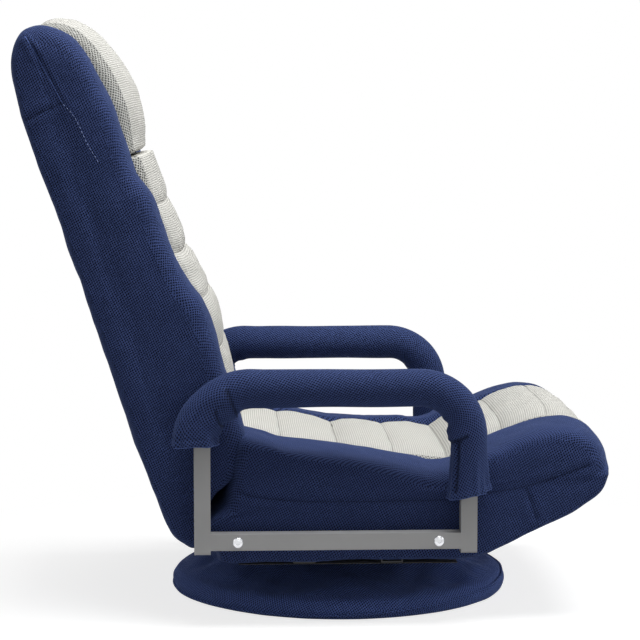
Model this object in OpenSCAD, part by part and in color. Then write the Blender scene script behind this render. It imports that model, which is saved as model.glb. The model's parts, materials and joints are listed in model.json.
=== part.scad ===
// A swivel floor chair for gaming: padded seat and reclining back on a
// round turning base, with two padded arm frames.
// X runs across the chair, -Y is forward, Z is up. The swivel axis stands
// on the origin and the floor is Z = 0. Side outlines are written as
// [forward, up], and outlines of the back as [out of the back, along it].

/* [Arms] */
// From a side of the seat cushion out to the centre plane of the arm frame
arm_offset = 22; // [20:0.5:30]
// Side of the square arm tube
arm_tube = 22; // [18:1:24]
// Wall of the square arm tube
arm_wall = 1.6; // [1:0.1:2.5]
// Rear post of an arm frame, forward of the swivel axis
arm_rear = -198.6; // [-202:0.2:-196]
// Front post of an arm frame, forward of the swivel axis
arm_front = 160.4; // [150:0.2:170]
// Height of the centre of the top tube
arm_top = 326.8; // [315:0.2:345]
// Bend radius of the arm tube, on its centreline
arm_bend = 67; // [55:1:75]
// How far the posts reach below the bottom rail
post_overrun = 3.4; // [2:0.1:6]
// Outer radius of the padded sleeve along the top tube
pad_radius = 25.6; // [22:0.2:27]
// Height of the hem of the rear cuff
cuff_rear_hem = 246; // [235:1:255]
// Height of the hem of the front cuff
cuff_front_hem = 188; // [182:1:200]
// Outward flare of the cuffs at their hems
cuff_flare = 7; // [2:0.5:9]

/* [Seat] */
// Width of the seat cushion
seat_width = 516; // [506:1:518]
// Height of the seat cushion, from its underside to the front crest
seat_height = 190; // [180:1:200]
// Reach of the seat outline, from the swivel axis to its nose
seat_reach = 360; // [345:1:370]
// Height of the underside of the seat cushion
seat_bottom = 82; // [81.5:0.1:84]
// Number of sewn channels in the light seat panel
seat_channels = 6; // [4:1:8]

/* [Backrest] */
// Length of the back, from the hinge axis to its top
back_length = 735; // [700:1:760]
// Depth of the back, the unit of its side outline
back_depth = 150; // [145:0.5:155]
// Width of the back cushion
back_width = 496; // [490:1:500]
// Lean of the back from upright
lean = 18; // [15:0.5:21]
// Number of sewn channels in the light back panel
back_channels = 6; // [4:1:8]
// Width of the light panels of seat and back
panel_width = 300; // [280:1:320]
// Depth of the sewn channels
channel_depth = 9; // [4:0.5:12]

/* [Hinges] */
// Hinge axis, forward of the swivel axis
hinge_forward = -190; // [-192:0.5:-188]
// Hinge axis above the floor
hinge_height = 122; // [120:0.5:124]
// Radius of the toothed sector over its teeth
sector_radius = 28; // [26:0.5:30]
// Number of locking positions
positions = 14; // [8:1:16]
// Angle between two locking positions
tooth_pitch = 5.5; // [5:0.1:5.6]
// Thickness of the hinge plates
plate_wall = 4; // [3:0.1:4.2]

/* [Steel frame] */
// Side of the square seat rails
rail_side = 25; // [22:1:26]
// Distance between the centre planes of the seat rails
rail_gap = 462; // [458:1:464]
// Height of the centre of the seat rails
rail_height = 120; // [119:0.5:121]
// Diameter of the back hoop tube
hoop_tube = 22; // [19:1:23]
// Distance between the legs of the back hoop, centre to centre
hoop_gap = 452; // [448:1:454]
// Diameter of the cross tubes of seat and back
cross_tube = 19; // [16:1:20]
// Wall of the round tubes and seat rails
tube_wall = 1.5; // [1.2:0.1:2]
// Width of one elastic strap
strap_width = 50; // [40:1:60]
// Thickness of one elastic strap
strap_wall = 2; // [1:0.1:2.5]

/* [Base and swivel] */
// Radius of the centreline of the base ring
ring_radius = 228; // [215:1:235]
// Diameter of the base ring tube
ring_tube = 25; // [22:1:28]
// Number of spokes
spokes = 6; // [4:1:8]
// Diameter of the spoke tubes
spoke_tube = 20; // [16:1:22]
// Thickness of the hub plate
hub_wall = 4; // [3:0.5:5]
// Height of the bearing between hub plate and seat bars
bearing_height = 15; // [14.5:0.5:16]
// Diameter of the bearing balls
ball_size = 9; // [8:0.5:9]
// Number of balls
balls = 12; // [8:1:16]
// Thickness of the fabric covers
cloth_wall = 2.5; // [2:0.1:3]

/* [Fasteners] */
// Shank diameter of the arm bolts
bolt_size = 8; // [6:1:8]
// Diameter of the domed heads of the arm bolts
bolt_head = 15; // [13:0.5:17]
// Rear arm bolt, forward of the swivel axis
bolt_rear = -151; // [-153:1:-149]
// Front arm bolt, forward of the swivel axis
bolt_front = 120; // [110:1:130]
// Gap between parts that turn or slide on each other
running_gap = 0.1; // [0.05:0.01:0.15]
// Gap between parts that are put together
fit_gap = 0.3; // [0.2:0.05:0.5]
// Gap between soft parts that may press on each other
soft_gap = 0.6; // [0.4:0.1:1]

/* [Hidden] */
$fn = 48;

navy = [0.10, 0.15, 0.36];
cream = [0.84, 0.83, 0.79];
tube_grey = [0.56, 0.56, 0.57];
zinc = [0.80, 0.81, 0.83];
frame_black = [0.10, 0.10, 0.11];
strap_black = [0.16, 0.16, 0.17];

// How far a cutting shape runs past what it cuts
overrun = 1;
coarse_round = 24;

// The two sides of the chair, as the sitter sees them
left = 1;
right = -1;

hinge = [hinge_forward, hinge_height];
half_turn = 180;
quarter_turn = 90;
full_turn = 360;
// Travel past the first tooth, forward, that resets the pawls
reset_angle = 8;
recline_angle = (positions - 1) * tooth_pitch;

arm_x = seat_width / 2 + arm_offset;
arm_half = arm_tube / 2;
rail_x = rail_gap / 2;
rail_half = rail_side / 2;
rail_bore = rail_side - 2 * tube_wall;
rail_outer = rail_x + rail_half;
rail_inner = rail_x - rail_half;
rail_top = rail_height + rail_half;
rail_under = rail_height - rail_half;
rail_rear = hinge_forward + sector_radius - 3 * overrun;
rail_front = 150;
hoop_x = hoop_gap / 2;
spacer_radius = 7;

// Stack of the base, from the floor up
bottom_cloth_wall = 2.5;
ring_height = bottom_cloth_wall + ring_tube / 2 + fit_gap;
lower_plate_wall = 3;
upper_plate_wall = 3;
bar_under = seat_bottom - 1;
upper_plate_under = bar_under - upper_plate_wall;
hub_top = bar_under - bearing_height;
hub_under = hub_top - hub_wall;
spoke_height = hub_under - spoke_tube / 2;
hub_radius = 108;
spoke_bend_radius = 122;
spoke_start = 58;
plate_side = 150;
bolt_square = 60;
race_radius = 58;
race_width = 16;
ball_height = (hub_top + lower_plate_wall + upper_plate_under) / 2;
kingpin_radius = 9;
kingpin_head = 14;
kingpin_head_wall = 4;
plate_bolt_radius = 4;
plate_bolt_head = 7;
plate_bolt_head_wall = 2.4;
plate_nut_wall = 6;
cage_wall = 1.8;
bar_width = 30;
bar_height = rail_under - bar_under;
bar_forward = 60;
bar_wall = 2;
bar_inner = bar_width - 2 * bar_wall;

// Smooth curve through a few points, count steps from end to end
function pick(p, i) = p[max(0, min(len(p) - 1, i))];
function blend4(a, b, c, d, t) =
    b + t * (c - a) / 2 + t * t * (a - 5 * b / 2 + 2 * c - d / 2) + t * t * t * (3 * b - a - 3 * c + d) / 2;
function curve(p, count) = [
    for (k = [0:count])
        let (at = k / count * (len(p) - 1), i = min(len(p) - 2, floor(at)), t = at - i)
        blend4(pick(p, i - 1), pick(p, i), pick(p, i + 1), pick(p, i + 2), t)
];
function reversed(p) = [for (i = [len(p) - 1:-1:0]) p[i]];
function unit(v) = v / norm(v);
// Unit normals of a run of points, on the left of its direction
function normals(p) = [
    for (i = [0:len(p) - 1])
        let (d = unit(pick(p, i + 1) - pick(p, i - 1)))
        [-d.y, d.x]
];
function moved_left(p, gap) = let (n = normals(p)) [for (i = [0:len(p) - 1]) p[i] + gap * n[i]];
function sized(shares, along, high) = [for (s = shares) [s.x * along, s.y * high]];

// A point of the back, [out, along], as [forward, up] with the back at an angle
function from_back(p, angle) =
    hinge + p.y * [-sin(angle), cos(angle)] + p.x * [cos(angle), sin(angle)];
function all_from_back(p, angle) = [for (q = p) from_back(q, angle)];

// A closed body skinned over outlines that stand one behind the other.
// Each outline is a top run and a bottom run of as many points, both rear to front.
module skin(xs, tops, bottoms, one_face_ends = false) {
    m = len(tops[0]);
    ring = 2 * m;
    last = len(xs) - 1;
    points = [
        for (i = [0:last])
            for (p = concat(tops[i], reversed(bottoms[i])))
                [xs[i], -p.x, p.y]
    ];
    sides = [
        for (i = [0:last - 1])
            for (j = [0:ring - 1])
                let (a = i * ring + j, b = i * ring + (j + 1) % ring, c = a + ring, d = b + ring)
                each [[a, b, c], [b, d, c]]
    ];
    low = [
        for (j = [0:m - 2])
            each [[j, ring - 2 - j, j + 1], [j, ring - 1 - j, ring - 2 - j]]
    ];
    shift = last * ring;
    high = [for (t = low) [t[0] + shift, t[2] + shift, t[1] + shift]];
    ends = one_face_ends
        ? [[for (j = [ring - 1:-1:0]) j], [for (j = [0:ring - 1]) j + shift]]
        : concat(low, high);
    polyhedron(points, concat(sides, ends));
}

// Extrudes a [forward, up] outline across the chair, from one X to another
module across(from_x, to_x) {
    translate([to_x, 0, 0])
        rotate([90, 0, -90])
            linear_extrude(to_x - from_x)
                children();
}

// Places a body drawn on an upright back, its hinge axis through the origin
module in_back() {
    translate([0, -hinge_forward, hinge_height])
        rotate([-lean, 0, 0])
            children();
}

// A round bar from one point to another
module rod(p, q, r) {
    d = q - p;
    translate(p)
        rotate([0, acos(d.z / norm(d)), atan2(d.y, d.x)])
            cylinder(h = norm(d), r = r, $fn = coarse_round);
}

module mirror_side(side) {
    if (side == left) {
        children();
    } else {
        mirror([1, 0, 0])
            children();
    }
}

// Base: cloth on the floor, ring, spokes, hub plate and draped cover
cloth_radius = ring_radius + ring_tube / 2 - 2 * cloth_wall;

module base_bottom_cloth() {
    color(strap_black)
        cylinder(h = bottom_cloth_wall, r = cloth_radius, $fn = 96);
}

module base_ring() {
    color(frame_black)
        translate([0, 0, ring_height])
            difference() {
                rotate_extrude($fn = 96)
                    translate([ring_radius, 0])
                        circle(d = ring_tube);
                rotate_extrude($fn = 96)
                    translate([ring_radius, 0])
                        circle(d = ring_tube - 2 * tube_wall);
            }
}

module spoke_path(r, extra) {
    rod([spoke_start - extra, 0, spoke_height], [spoke_bend_radius, 0, spoke_height], r);
    rod([spoke_bend_radius, 0, spoke_height], spoke_end + extra * unit(spoke_run), r);
    translate([spoke_bend_radius, 0, spoke_height])
        sphere(r = r, $fn = coarse_round);
}
spoke_run = [ring_radius - spoke_bend_radius, 0, ring_height - spoke_height];
spoke_end = [spoke_bend_radius, 0, spoke_height]
    + spoke_run * (1 - (ring_tube / 2 + fit_gap) / norm(spoke_run));

module base_spokes() {
    color(frame_black)
        for (k = [0:spokes - 1])
            rotate(k * full_turn / spokes)
                difference() {
                    spoke_path(spoke_tube / 2, 0);
                    spoke_path(spoke_tube / 2 - tube_wall, overrun);
                    translate([0, 0, ring_height])
                        rotate_extrude($fn = 96)
                            translate([ring_radius, 0])
                                circle(d = ring_tube + 2 * running_gap);
                }
}

module at_plate_bolts() {
    for (sx = [left, right])
        for (sy = [left, right])
            translate([sx * bolt_square, sy * bolt_square, 0])
                children();
}

module base_hub_plate() {
    color(frame_black)
        difference() {
            translate([0, 0, hub_under])
                cylinder(h = hub_wall, r = hub_radius, $fn = 72);
            translate([0, 0, hub_under - overrun])
                cylinder(h = hub_wall + 2 * overrun, r = kingpin_radius + fit_gap);
            translate([0, 0, hub_under - overrun])
                at_plate_bolts()
                    cylinder(h = hub_wall + 2 * overrun, r = plate_bolt_radius + running_gap);
        }
}

// Cover: the ridge line runs over a spoke, the valley line sags between two
cover_rise = hub_top - running_gap;
cover_steps = 36;
cover_rings = 8;
// The flats between two steps of the cover clear the ring too
cover_reach = (ring_radius + ring_tube / 2 + soft_gap) / cos(full_turn / cover_steps / 2) + cloth_wall;
// Their shares across start at the edge of the hub plate
ridge_shares = [[0.033, 0.985], [0.212, 0.97], [0.445, 0.80], [0.713, 0.59], [0.866, 0.515], [0.973, 0.39],
    [1, 0.24], [0.973, 0.03]];
valley_shares = [[0.033, 0.975], [0.212, 0.72], [0.445, 0.49], [0.696, 0.42], [0.866, 0.50], [0.973, 0.39],
    [1, 0.24], [0.973, 0.03]];

function cover_line(turn) =
    let (w = (1 + cos(turn * spokes)) / 2)
    curve([
        for (i = [0:len(ridge_shares) - 1])
            [hub_radius + (w * ridge_shares[i].x + (1 - w) * valley_shares[i].x) * (cover_reach - hub_radius),
             (w * ridge_shares[i].y + (1 - w) * valley_shares[i].y) * cover_rise]
    ], cover_rings);

module base_cover() {
    lines = [for (k = [0:cover_steps - 1]) cover_line(k * full_turn / cover_steps)];
    m = cover_rings + 1;
    ring = 2 * m;
    points = [
        for (k = [0:cover_steps - 1])
            let (a = k * full_turn / cover_steps)
            for (p = concat(lines[k], reversed(moved_left(lines[k], -cloth_wall))))
                [p.x * cos(a), p.x * sin(a), p.y]
    ];
    faces = [
        for (k = [0:cover_steps - 1])
            for (j = [0:ring - 1])
                let (a = k * ring + j, b = k * ring + (j + 1) % ring,
                     c = ((k + 1) % cover_steps) * ring + j,
                     d = ((k + 1) % cover_steps) * ring + (j + 1) % ring)
                each [[a, b, c], [b, d, c]]
    ];
    color(navy)
        polyhedron(points, faces);
}

// Swivel bearing: two pressed plates with races, balls in a cage, a kingpin
module plate_blank(z, wall) {
    translate([-plate_side / 2, -plate_side / 2, z])
        cube([plate_side, plate_side, wall]);
}

module race(low, high) {
    translate([0, 0, low])
        rotate_extrude($fn = 96)
            translate([race_radius - race_width / 2, 0])
                square([race_width, high - low]);
}

module race_groove() {
    translate([0, 0, ball_height])
        rotate_extrude($fn = 96)
            translate([race_radius, 0])
                circle(r = ball_radius + running_gap);
}

cage_gap = 0.4;
cage_half = cage_wall / 2;
ball_radius = ball_size / 2;

module swivel_lower_plate() {
    color(zinc)
        difference() {
            union() {
                plate_blank(hub_top, lower_plate_wall);
                race(hub_top + lower_plate_wall / 2, ball_height - cage_half - cage_gap);
            }
            race_groove();
            translate([0, 0, hub_top - overrun])
                cylinder(h = lower_plate_wall + 2 * overrun, r = kingpin_radius + fit_gap);
            translate([0, 0, hub_top - overrun])
                at_plate_bolts()
                    cylinder(h = lower_plate_wall + 2 * overrun, r = plate_bolt_radius + running_gap);
        }
}

module swivel_upper_plate() {
    color(zinc)
        difference() {
            union() {
                plate_blank(upper_plate_under, upper_plate_wall);
                race(ball_height + cage_half + cage_gap, bar_under - upper_plate_wall / 2);
            }
            race_groove();
            translate([0, 0, upper_plate_under - overrun])
                cylinder(h = upper_plate_wall + 2 * overrun, r = kingpin_radius + 2 * running_gap);
            translate([0, 0, upper_plate_under - overrun])
                at_plate_bolts()
                    cylinder(h = upper_plate_wall + 2 * overrun, r = plate_bolt_radius + running_gap);
        }
}

module swivel_ball_cage() {
    color(tube_grey)
        difference() {
            race(ball_height - cage_half, ball_height + cage_half);
            for (k = [0:balls - 1])
                rotate(k * full_turn / balls)
                    translate([race_radius, 0, ball_height - cage_wall])
                        cylinder(h = 2 * cage_wall, r = ball_radius + running_gap);
        }
}

module swivel_balls() {
    color(zinc)
        for (k = [0:balls - 1])
            rotate(k * full_turn / balls)
                translate([race_radius, 0, ball_height])
                    sphere(r = ball_radius, $fn = coarse_round);
}

module hex_nut(r, bore, wall) {
    difference() {
        cylinder(h = wall, r = r, $fn = 6);
        translate([0, 0, -overrun])
            cylinder(h = wall + 2 * overrun, r = bore);
    }
}

kingpin_thread = 6;
kingpin_nut_wall = 8;
kingpin_nut_radius = 11;

module swivel_kingpin() {
    color(zinc)
        union() {
            translate([0, 0, hub_under])
                cylinder(h = bar_under + running_gap - hub_under, r = kingpin_radius);
            translate([0, 0, bar_under + running_gap])
                cylinder(h = kingpin_head_wall, r = kingpin_head);
            translate([0, 0, hub_under - kingpin_nut_wall - overrun])
                cylinder(h = kingpin_nut_wall + 2 * overrun, r = kingpin_thread);
        }
}

module swivel_kingpin_nut() {
    color(zinc)
        translate([0, 0, hub_under - kingpin_nut_wall])
            hex_nut(kingpin_nut_radius, kingpin_thread + running_gap, kingpin_nut_wall);
}

module swivel_lower_bolts() {
    color(zinc)
        at_plate_bolts() {
            translate([0, 0, hub_under - plate_nut_wall])
                cylinder(h = plate_nut_wall + hub_wall + lower_plate_wall, r = plate_bolt_radius);
            translate([0, 0, hub_top + lower_plate_wall])
                cylinder(h = plate_bolt_head_wall, r = plate_bolt_head);
            translate([0, 0, hub_under - plate_nut_wall])
                hex_nut(plate_bolt_head, plate_bolt_radius - running_gap, plate_nut_wall);
        }
}

module swivel_upper_bolts() {
    color(zinc)
        at_plate_bolts() {
            translate([0, 0, upper_plate_under - plate_bolt_head_wall])
                cylinder(h = plate_bolt_head_wall, r = plate_bolt_head);
            translate([0, 0, upper_plate_under - running_gap])
                cylinder(h = bolt_grip, r = plate_bolt_radius);
            translate([0, 0, bar_under + bar_wall])
                hex_nut(plate_bolt_head, plate_bolt_radius - running_gap, plate_nut_wall);
        }
}
bolt_grip = upper_plate_wall + bar_wall + plate_nut_wall;

// Seat frame: bars on the bearing, rails, cross tubes, hoop and straps
module swivel_bars() {
    color(frame_black)
        for (s = [left, right])
            difference() {
                translate([-rail_outer, s * bar_forward - bar_width / 2, bar_under])
                    cube([2 * rail_outer, bar_width, bar_height]);
                translate([-rail_outer - overrun, s * bar_forward - bar_inner / 2, bar_under + bar_wall])
                    cube([2 * rail_outer + 2 * overrun, bar_inner, bar_height - 2 * bar_wall]);
                translate([0, 0, bar_under - overrun])
                    at_plate_bolts()
                        cylinder(h = bar_wall + 2 * overrun, r = plate_bolt_radius + running_gap);
            }
}

rivet_radius = 5.6;

module seat_rail(side) {
    color(frame_black)
        mirror_side(side)
            difference() {
                translate([rail_inner, -rail_front, rail_under])
                    cube([rail_side, rail_front - rail_rear, rail_side]);
                translate([rail_inner + tube_wall, -rail_front - overrun, rail_under + tube_wall])
                    cube([rail_bore, rail_front - rail_rear + 2 * overrun, rail_bore]);
                for (f = [bolt_rear, bolt_front])
                    translate([rail_x, -f, rail_height])
                        rotate([0, quarter_turn, 0])
                            cylinder(h = rail_side, r = rivet_radius + running_gap);
            }
}
module seat_rail_left() seat_rail(left);
module seat_rail_right() seat_rail(right);

cross_forwards = [-95, 20, 105];

// A round tube across the chair, from -reach to reach
module cross_member(reach) {
    translate([-reach, 0, 0])
        rotate([0, quarter_turn, 0])
            difference() {
                cylinder(h = 2 * reach, d = cross_tube, $fn = coarse_round);
                translate([0, 0, -overrun])
                    cylinder(h = 2 * (reach + overrun), d = cross_tube - 2 * tube_wall, $fn = coarse_round);
            }
}

module seat_cross_tubes() {
    color(frame_black)
        for (f = cross_forwards)
            translate([0, -f, rail_height])
                cross_member(rail_inner);
}

nose_slope = 31;
nose_length = 168;
nose_corner = 60;
nose_plug = 20;
nose_start = rail_front + cross_tube / 2;
nose_tube = rail_bore - 2 * fit_gap;
weld_bead = 0.8;

// The nose hoop starts in the rails and climbs forward from a welded elbow
module nose_path(r, extra, bead) {
    for (s = [left, right])
        rod([s * rail_x, -(rail_front - nose_plug - extra), rail_height],
            [s * rail_x, -nose_start, rail_height], r);
    translate([0, -nose_start, rail_height])
        rotate([-nose_slope, 0, 0]) {
            for (s = [left, right]) {
                translate([s * rail_x, 0, 0])
                    sphere(r = r + bead, $fn = coarse_round);
                rod([s * rail_x, 0, 0], [s * rail_x, nose_corner - nose_length, 0], r);
                translate([s * (rail_x - nose_corner), nose_corner - nose_length, 0])
                    rotate(s == left ? -quarter_turn : half_turn)
                        rotate_extrude(angle = quarter_turn, $fn = coarse_round)
                            translate([nose_corner, 0])
                                circle(r = r, $fn = coarse_round);
            }
            rod([nose_corner - rail_x, -nose_length, 0], [rail_x - nose_corner, -nose_length, 0], r);
        }
}

module seat_nose_hoop() {
    color(frame_black)
        difference() {
            nose_path(nose_tube / 2, 0, weld_bead);
            nose_path(nose_tube / 2 - tube_wall, overrun, weld_bead / 2);
        }
}

seat_strap_forwards = [-60, 0, 60, 120];
strap_lift = 0.2;

module seat_straps() {
    color(strap_black)
        for (f = seat_strap_forwards)
            translate([-rail_outer, -f - strap_width / 2, rail_top + strap_lift])
                cube([2 * rail_outer, strap_width, strap_wall]);
}

// Side outlines of the back, from its bottom to its top: share of the
// depth out of the hinge plane, then share of the length along the back
bolster_shares = [[0.14, 0.061], [0.447, 0.09], [0.567, 0.126], [0.607, 0.18], [0.60, 0.27], [0.613, 0.374],
    [0.513, 0.471], [0.407, 0.593], [0.373, 0.706], [0.40, 0.803], [0.34, 0.884], [0.20, 0.962],
    [-0.02, 0.989]];
rear_shares = [[-0.227, -0.0095], [-0.31, 0.042], [-0.345, 0.133], [-0.37, 0.234], [-0.355, 0.35],
    [-0.353, 0.476],
    [-0.355, 0.593], [-0.36, 0.706], [-0.365, 0.80], [-0.335, 0.885], [-0.26, 0.945], [-0.18, 0.975],
    [-0.10, 0.985]];
trough_shares = [[0.10, 0.061], [0.30, 0.09], [0.39, 0.126], [0.42, 0.18], [0.42, 0.27], [0.43, 0.374],
    [0.34, 0.471], [0.26, 0.593], [0.23, 0.706], [0.24, 0.803], [0.19, 0.884], [0.08, 0.945],
    [-0.07, 0.968]];
crest_shares = [[0.52, 0.10], [0.61, 0.20], [0.655, 0.29], [0.67, 0.352], [0.655, 0.41], [0.635, 0.466],
    [0.595, 0.559], [0.55, 0.636], [0.515, 0.712]];
crest_floor_shares = [[0.39, 0.10], [0.431, 0.20], [0.427, 0.29], [0.442, 0.352], [0.412, 0.41], [0.353, 0.466],
    [0.289, 0.559], [0.254, 0.636], [0.238, 0.712]];
head_shares = [[0.49, 0.722], [0.56, 0.775], [0.57, 0.835], [0.53, 0.88], [0.45, 0.933], [0.33, 0.978],
    [0.16, 1.004], [-0.02, 1.01], [-0.12, 1.0]];
head_floor_shares = [[0.24, 0.722], [0.251, 0.775], [0.241, 0.835], [0.203, 0.88], [0.128, 0.93], [0.06, 0.953],
    [0, 0.964], [-0.04, 0.97], [-0.10, 0.985]];
back_steps = 20;

// Stations across a cushion, as shares of its half width, with how far the
// outline draws in there as a share of the drawing-in at the side
side_station_shares = [[1, 1], [0.985, 0.52], [0.95, 0.2], [0.88, 0.03], [0.78, 0], [0.68, 0.12]];
side_draw = 26;
trough_edge = panel_width / 2;

function cushion_stations(half) = concat(
    [for (s = side_station_shares) -s.x * half],
    [-trough_edge - soft_gap, -trough_edge / 2, trough_edge / 2, trough_edge + soft_gap],
    [for (s = reversed(side_station_shares)) s.x * half]);
// An outline drawn in towards the line from one point to another inside it
function drawn_to(line, from, to, amount) =
    let (last = len(line) - 1)
    [
        for (k = [0:last])
            let (inward = from + (to - from) * k / last - line[k])
            line[k] + inward * min(amount / norm(inward), draw_limit)
    ];
draw_limit = 0.8;

function cushion_draws() = concat(
    [for (s = side_station_shares) s.y * side_draw],
    [-1, -1, -1, -1],
    [for (s = reversed(side_station_shares)) s.y * side_draw]);

back_bolster = curve(sized(bolster_shares, back_depth, back_length), back_steps);
back_rear = curve(sized(rear_shares, back_depth, back_length), back_steps);
back_trough = curve(sized(trough_shares, back_depth, back_length), back_steps);

// How much less the rear and the underside draw in than the front and the top
rear_draw_share = 0.5;
under_draw_share = 0.35;
// Middle line of each cushion's side view, as shares like its outlines
back_heart = sized([[-0.08, 0.03], [-0.093, 0.939]], back_depth, back_length);

module back_blank() {
    draws = cushion_draws();
    fronts = [
        for (d = draws)
            all_from_back(d < 0 ? back_trough : drawn_to(back_bolster, back_heart[0], back_heart[1], d), lean)
    ];
    rears = [
        for (d = draws)
            all_from_back(d < 0 ? back_rear
                : drawn_to(back_rear, back_heart[0], back_heart[1], d * rear_draw_share), lean)
    ];
    skin(cushion_stations(back_width / 2), rears, fronts);
}

hoop_out = -25;
hoop_low = 46;
hoop_high = 672;
hoop_corner = 95;
pocket_margin = 1.6;
pocket_half = hoop_x + hoop_tube / 2 + pocket_margin;
pocket_front = hoop_out + hoop_tube / 2 + strap_wall + pocket_margin;
pocket_depth = hoop_tube + strap_wall + 2 * pocket_margin;
pocket_top = hoop_high + hoop_tube / 2 + pocket_margin;
hinge_room_inner = 203;
hinge_room_along = 78;

// The pocket holds the hoop; the hinge room is open to the front at each side
module back_cushion() {
    color(navy)
        difference() {
            back_blank();
            in_back() {
                translate([-pocket_half, -pocket_front, hinge_room_along - overrun])
                    cube([2 * pocket_half, pocket_depth, pocket_top - hinge_room_along]);
                for (s = [left, right])
                    translate([s == left ? hinge_room_inner : -back_width, -back_depth, -hinge_room_along])
                        cube([back_width - hinge_room_inner, back_depth + pocket_depth - pocket_front,
                            2 * hinge_room_along]);
            }
        }
}

// A light panel with sewn channels: crown across it, channels along it
panel_station_shares = [-1, -0.985, -0.9, -0.55, 0, 0.55, 0.9, 0.985, 1];
panel_crown_shares = [0, 0.42, 0.66, 0.92, 1, 0.92, 0.66, 0.42, 0];
channel_samples = 5;
// Higher values give fuller channels with tighter seams
channel_fullness = 2.4;
panel_end_share = 0.55;
panel_hem = 1;

function channel(k, samples) =
    let (t = (k % samples) / samples)
    1 - pow(abs(2 * t - 1), channel_fullness);

module channel_panel(top, floor, channels, samples, depth) {
    count = channels * samples;
    high = curve(top, count);
    high_normals = normals(high);
    low = moved_left(curve(floor, count), soft_gap);
    half = trough_edge - soft_gap;
    xs = [for (s = panel_station_shares) s * half];
    tops = [
        for (w = panel_crown_shares)
            [for (k = [0:count])
                let (rise = (high[k] - low[k]) * w * (k == 0 || k == count ? panel_end_share : 1),
                     seam = high_normals[k] * depth * w * (1 - channel(k, samples)))
                low[k] + rise - seam]
    ];
    skin(xs, tops, [for (s = xs) moved_left(low, -panel_hem / 2)]);
}

module back_panel() {
    color(cream)
        channel_panel(
            all_from_back(reversed(sized(crest_shares, back_depth, back_length)), lean),
            all_from_back(reversed(sized(crest_floor_shares, back_depth, back_length)), lean),
            back_channels, channel_samples, channel_depth);
}

head_samples = 12;

module headrest_pad() {
    color(cream)
        channel_panel(
            all_from_back(reversed(sized(head_shares, back_depth, back_length)), lean),
            all_from_back(reversed(sized(head_floor_shares, back_depth, back_length)), lean),
            1, head_samples, 0);
}

// Side outlines of the seat, rear to front: share of the reach, then share
// of the height above the underside
seat_top_shares = [[-0.486, 0.447], [-0.42, 0.542], [-0.369, 0.616], [-0.331, 0.726], [-0.289, 0.80],
    [-0.20, 0.779], [-0.028, 0.716], [0.15, 0.679], [0.333, 0.705], [0.486, 0.747], [0.633, 0.816],
    [0.75, 0.90], [0.847, 0.942], [0.925, 0.916], [0.972, 0.821], [0.994, 0.726]];
seat_under_shares = [[-0.564, 0.258], [-0.5736, 0.205], [-0.5556, 0.142], [-0.522, 0.121], [-0.5056, 0.074],
    [-0.49, 0.01], [-0.40, 0], [-0.139, 0], [0.167, 0], [0.417, 0], [0.519, 0.032], [0.611, 0.11],
    [0.728, 0.221], [0.869, 0.358], [0.961, 0.489], [0.997, 0.637]];
seat_trough_shares = [[-0.486, 0.447], [-0.431, 0.535], [-0.375, 0.585], [-0.345, 0.65], [-0.305, 0.675],
    [-0.20, 0.638], [-0.028, 0.574], [0.15, 0.54], [0.333, 0.541], [0.486, 0.58], [0.62, 0.652],
    [0.73, 0.74], [0.82, 0.79], [0.89, 0.775], [0.94, 0.68], [0.954, 0.54]];
seat_trough_under_shares = [[-0.564, 0.258], [-0.5736, 0.205], [-0.5556, 0.142], [-0.522, 0.121],
    [-0.5056, 0.074], [-0.49, 0.01], [-0.40, 0], [-0.139, 0], [0.167, 0], [0.417, 0], [0.519, 0.032],
    [0.611, 0.11], [0.728, 0.221], [0.85, 0.345], [0.93, 0.44], [0.952, 0.51]];
seat_crest_shares = [[-0.322, 0.80], [-0.264, 0.884], [-0.167, 0.858], [-0.028, 0.805], [0.111, 0.768],
    [0.25, 0.732], [0.389, 0.721], [0.486, 0.774], [0.583, 0.879], [0.694, 1.021], [0.806, 1.105],
    [0.883, 1.084], [0.95, 0.989], [1.008, 0.858], [1.035, 0.726], [1.028, 0.621]];
seat_floor_shares = [[-0.311, 0.684], [-0.256, 0.663], [-0.167, 0.637], [-0.028, 0.584], [0.111, 0.553],
    [0.25, 0.547], [0.389, 0.558], [0.486, 0.589], [0.583, 0.637], [0.694, 0.721], [0.792, 0.795],
    [0.856, 0.811], [0.911, 0.768], [0.947, 0.684], [0.961, 0.60], [0.958, 0.55]];
seat_steps = 30;

function on_seat(shares) = [for (p = sized(shares, seat_reach, seat_height)) [p.x, p.y + seat_bottom]];

seat_top = curve(on_seat(seat_top_shares), seat_steps);
seat_under = curve(on_seat(seat_under_shares), seat_steps);
seat_trough = curve(on_seat(seat_trough_shares), seat_steps);
seat_trough_under = curve(on_seat(seat_trough_under_shares), seat_steps);

seat_heart = on_seat([[-0.417, 0.358], [0.903, 0.595]]);

module seat_blank() {
    draws = cushion_draws();
    tops = [for (d = draws) d < 0 ? seat_trough : drawn_to(seat_top, seat_heart[0], seat_heart[1], d)];
    unders = [
        for (d = draws)
            d < 0 ? seat_trough_under
                : drawn_to(seat_under, seat_heart[0], seat_heart[1], d * under_draw_share)
    ];
    skin(cushion_stations(seat_width / 2), tops, unders, one_face_ends = true);
}

frame_room = rail_outer + 2 * overrun;
nose_room = nose_tube / 2 + weld_bead + overrun / 2;
frame_roof = rail_top + strap_lift + strap_wall + overrun;
hinge_room_front = -118;
hinge_room_roof = 174;
hinge_room_length = hinge_room_front - hinge_forward + 2 * sector_radius;
bolt_room = 2 * (spacer_radius + soft_gap);

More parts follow.
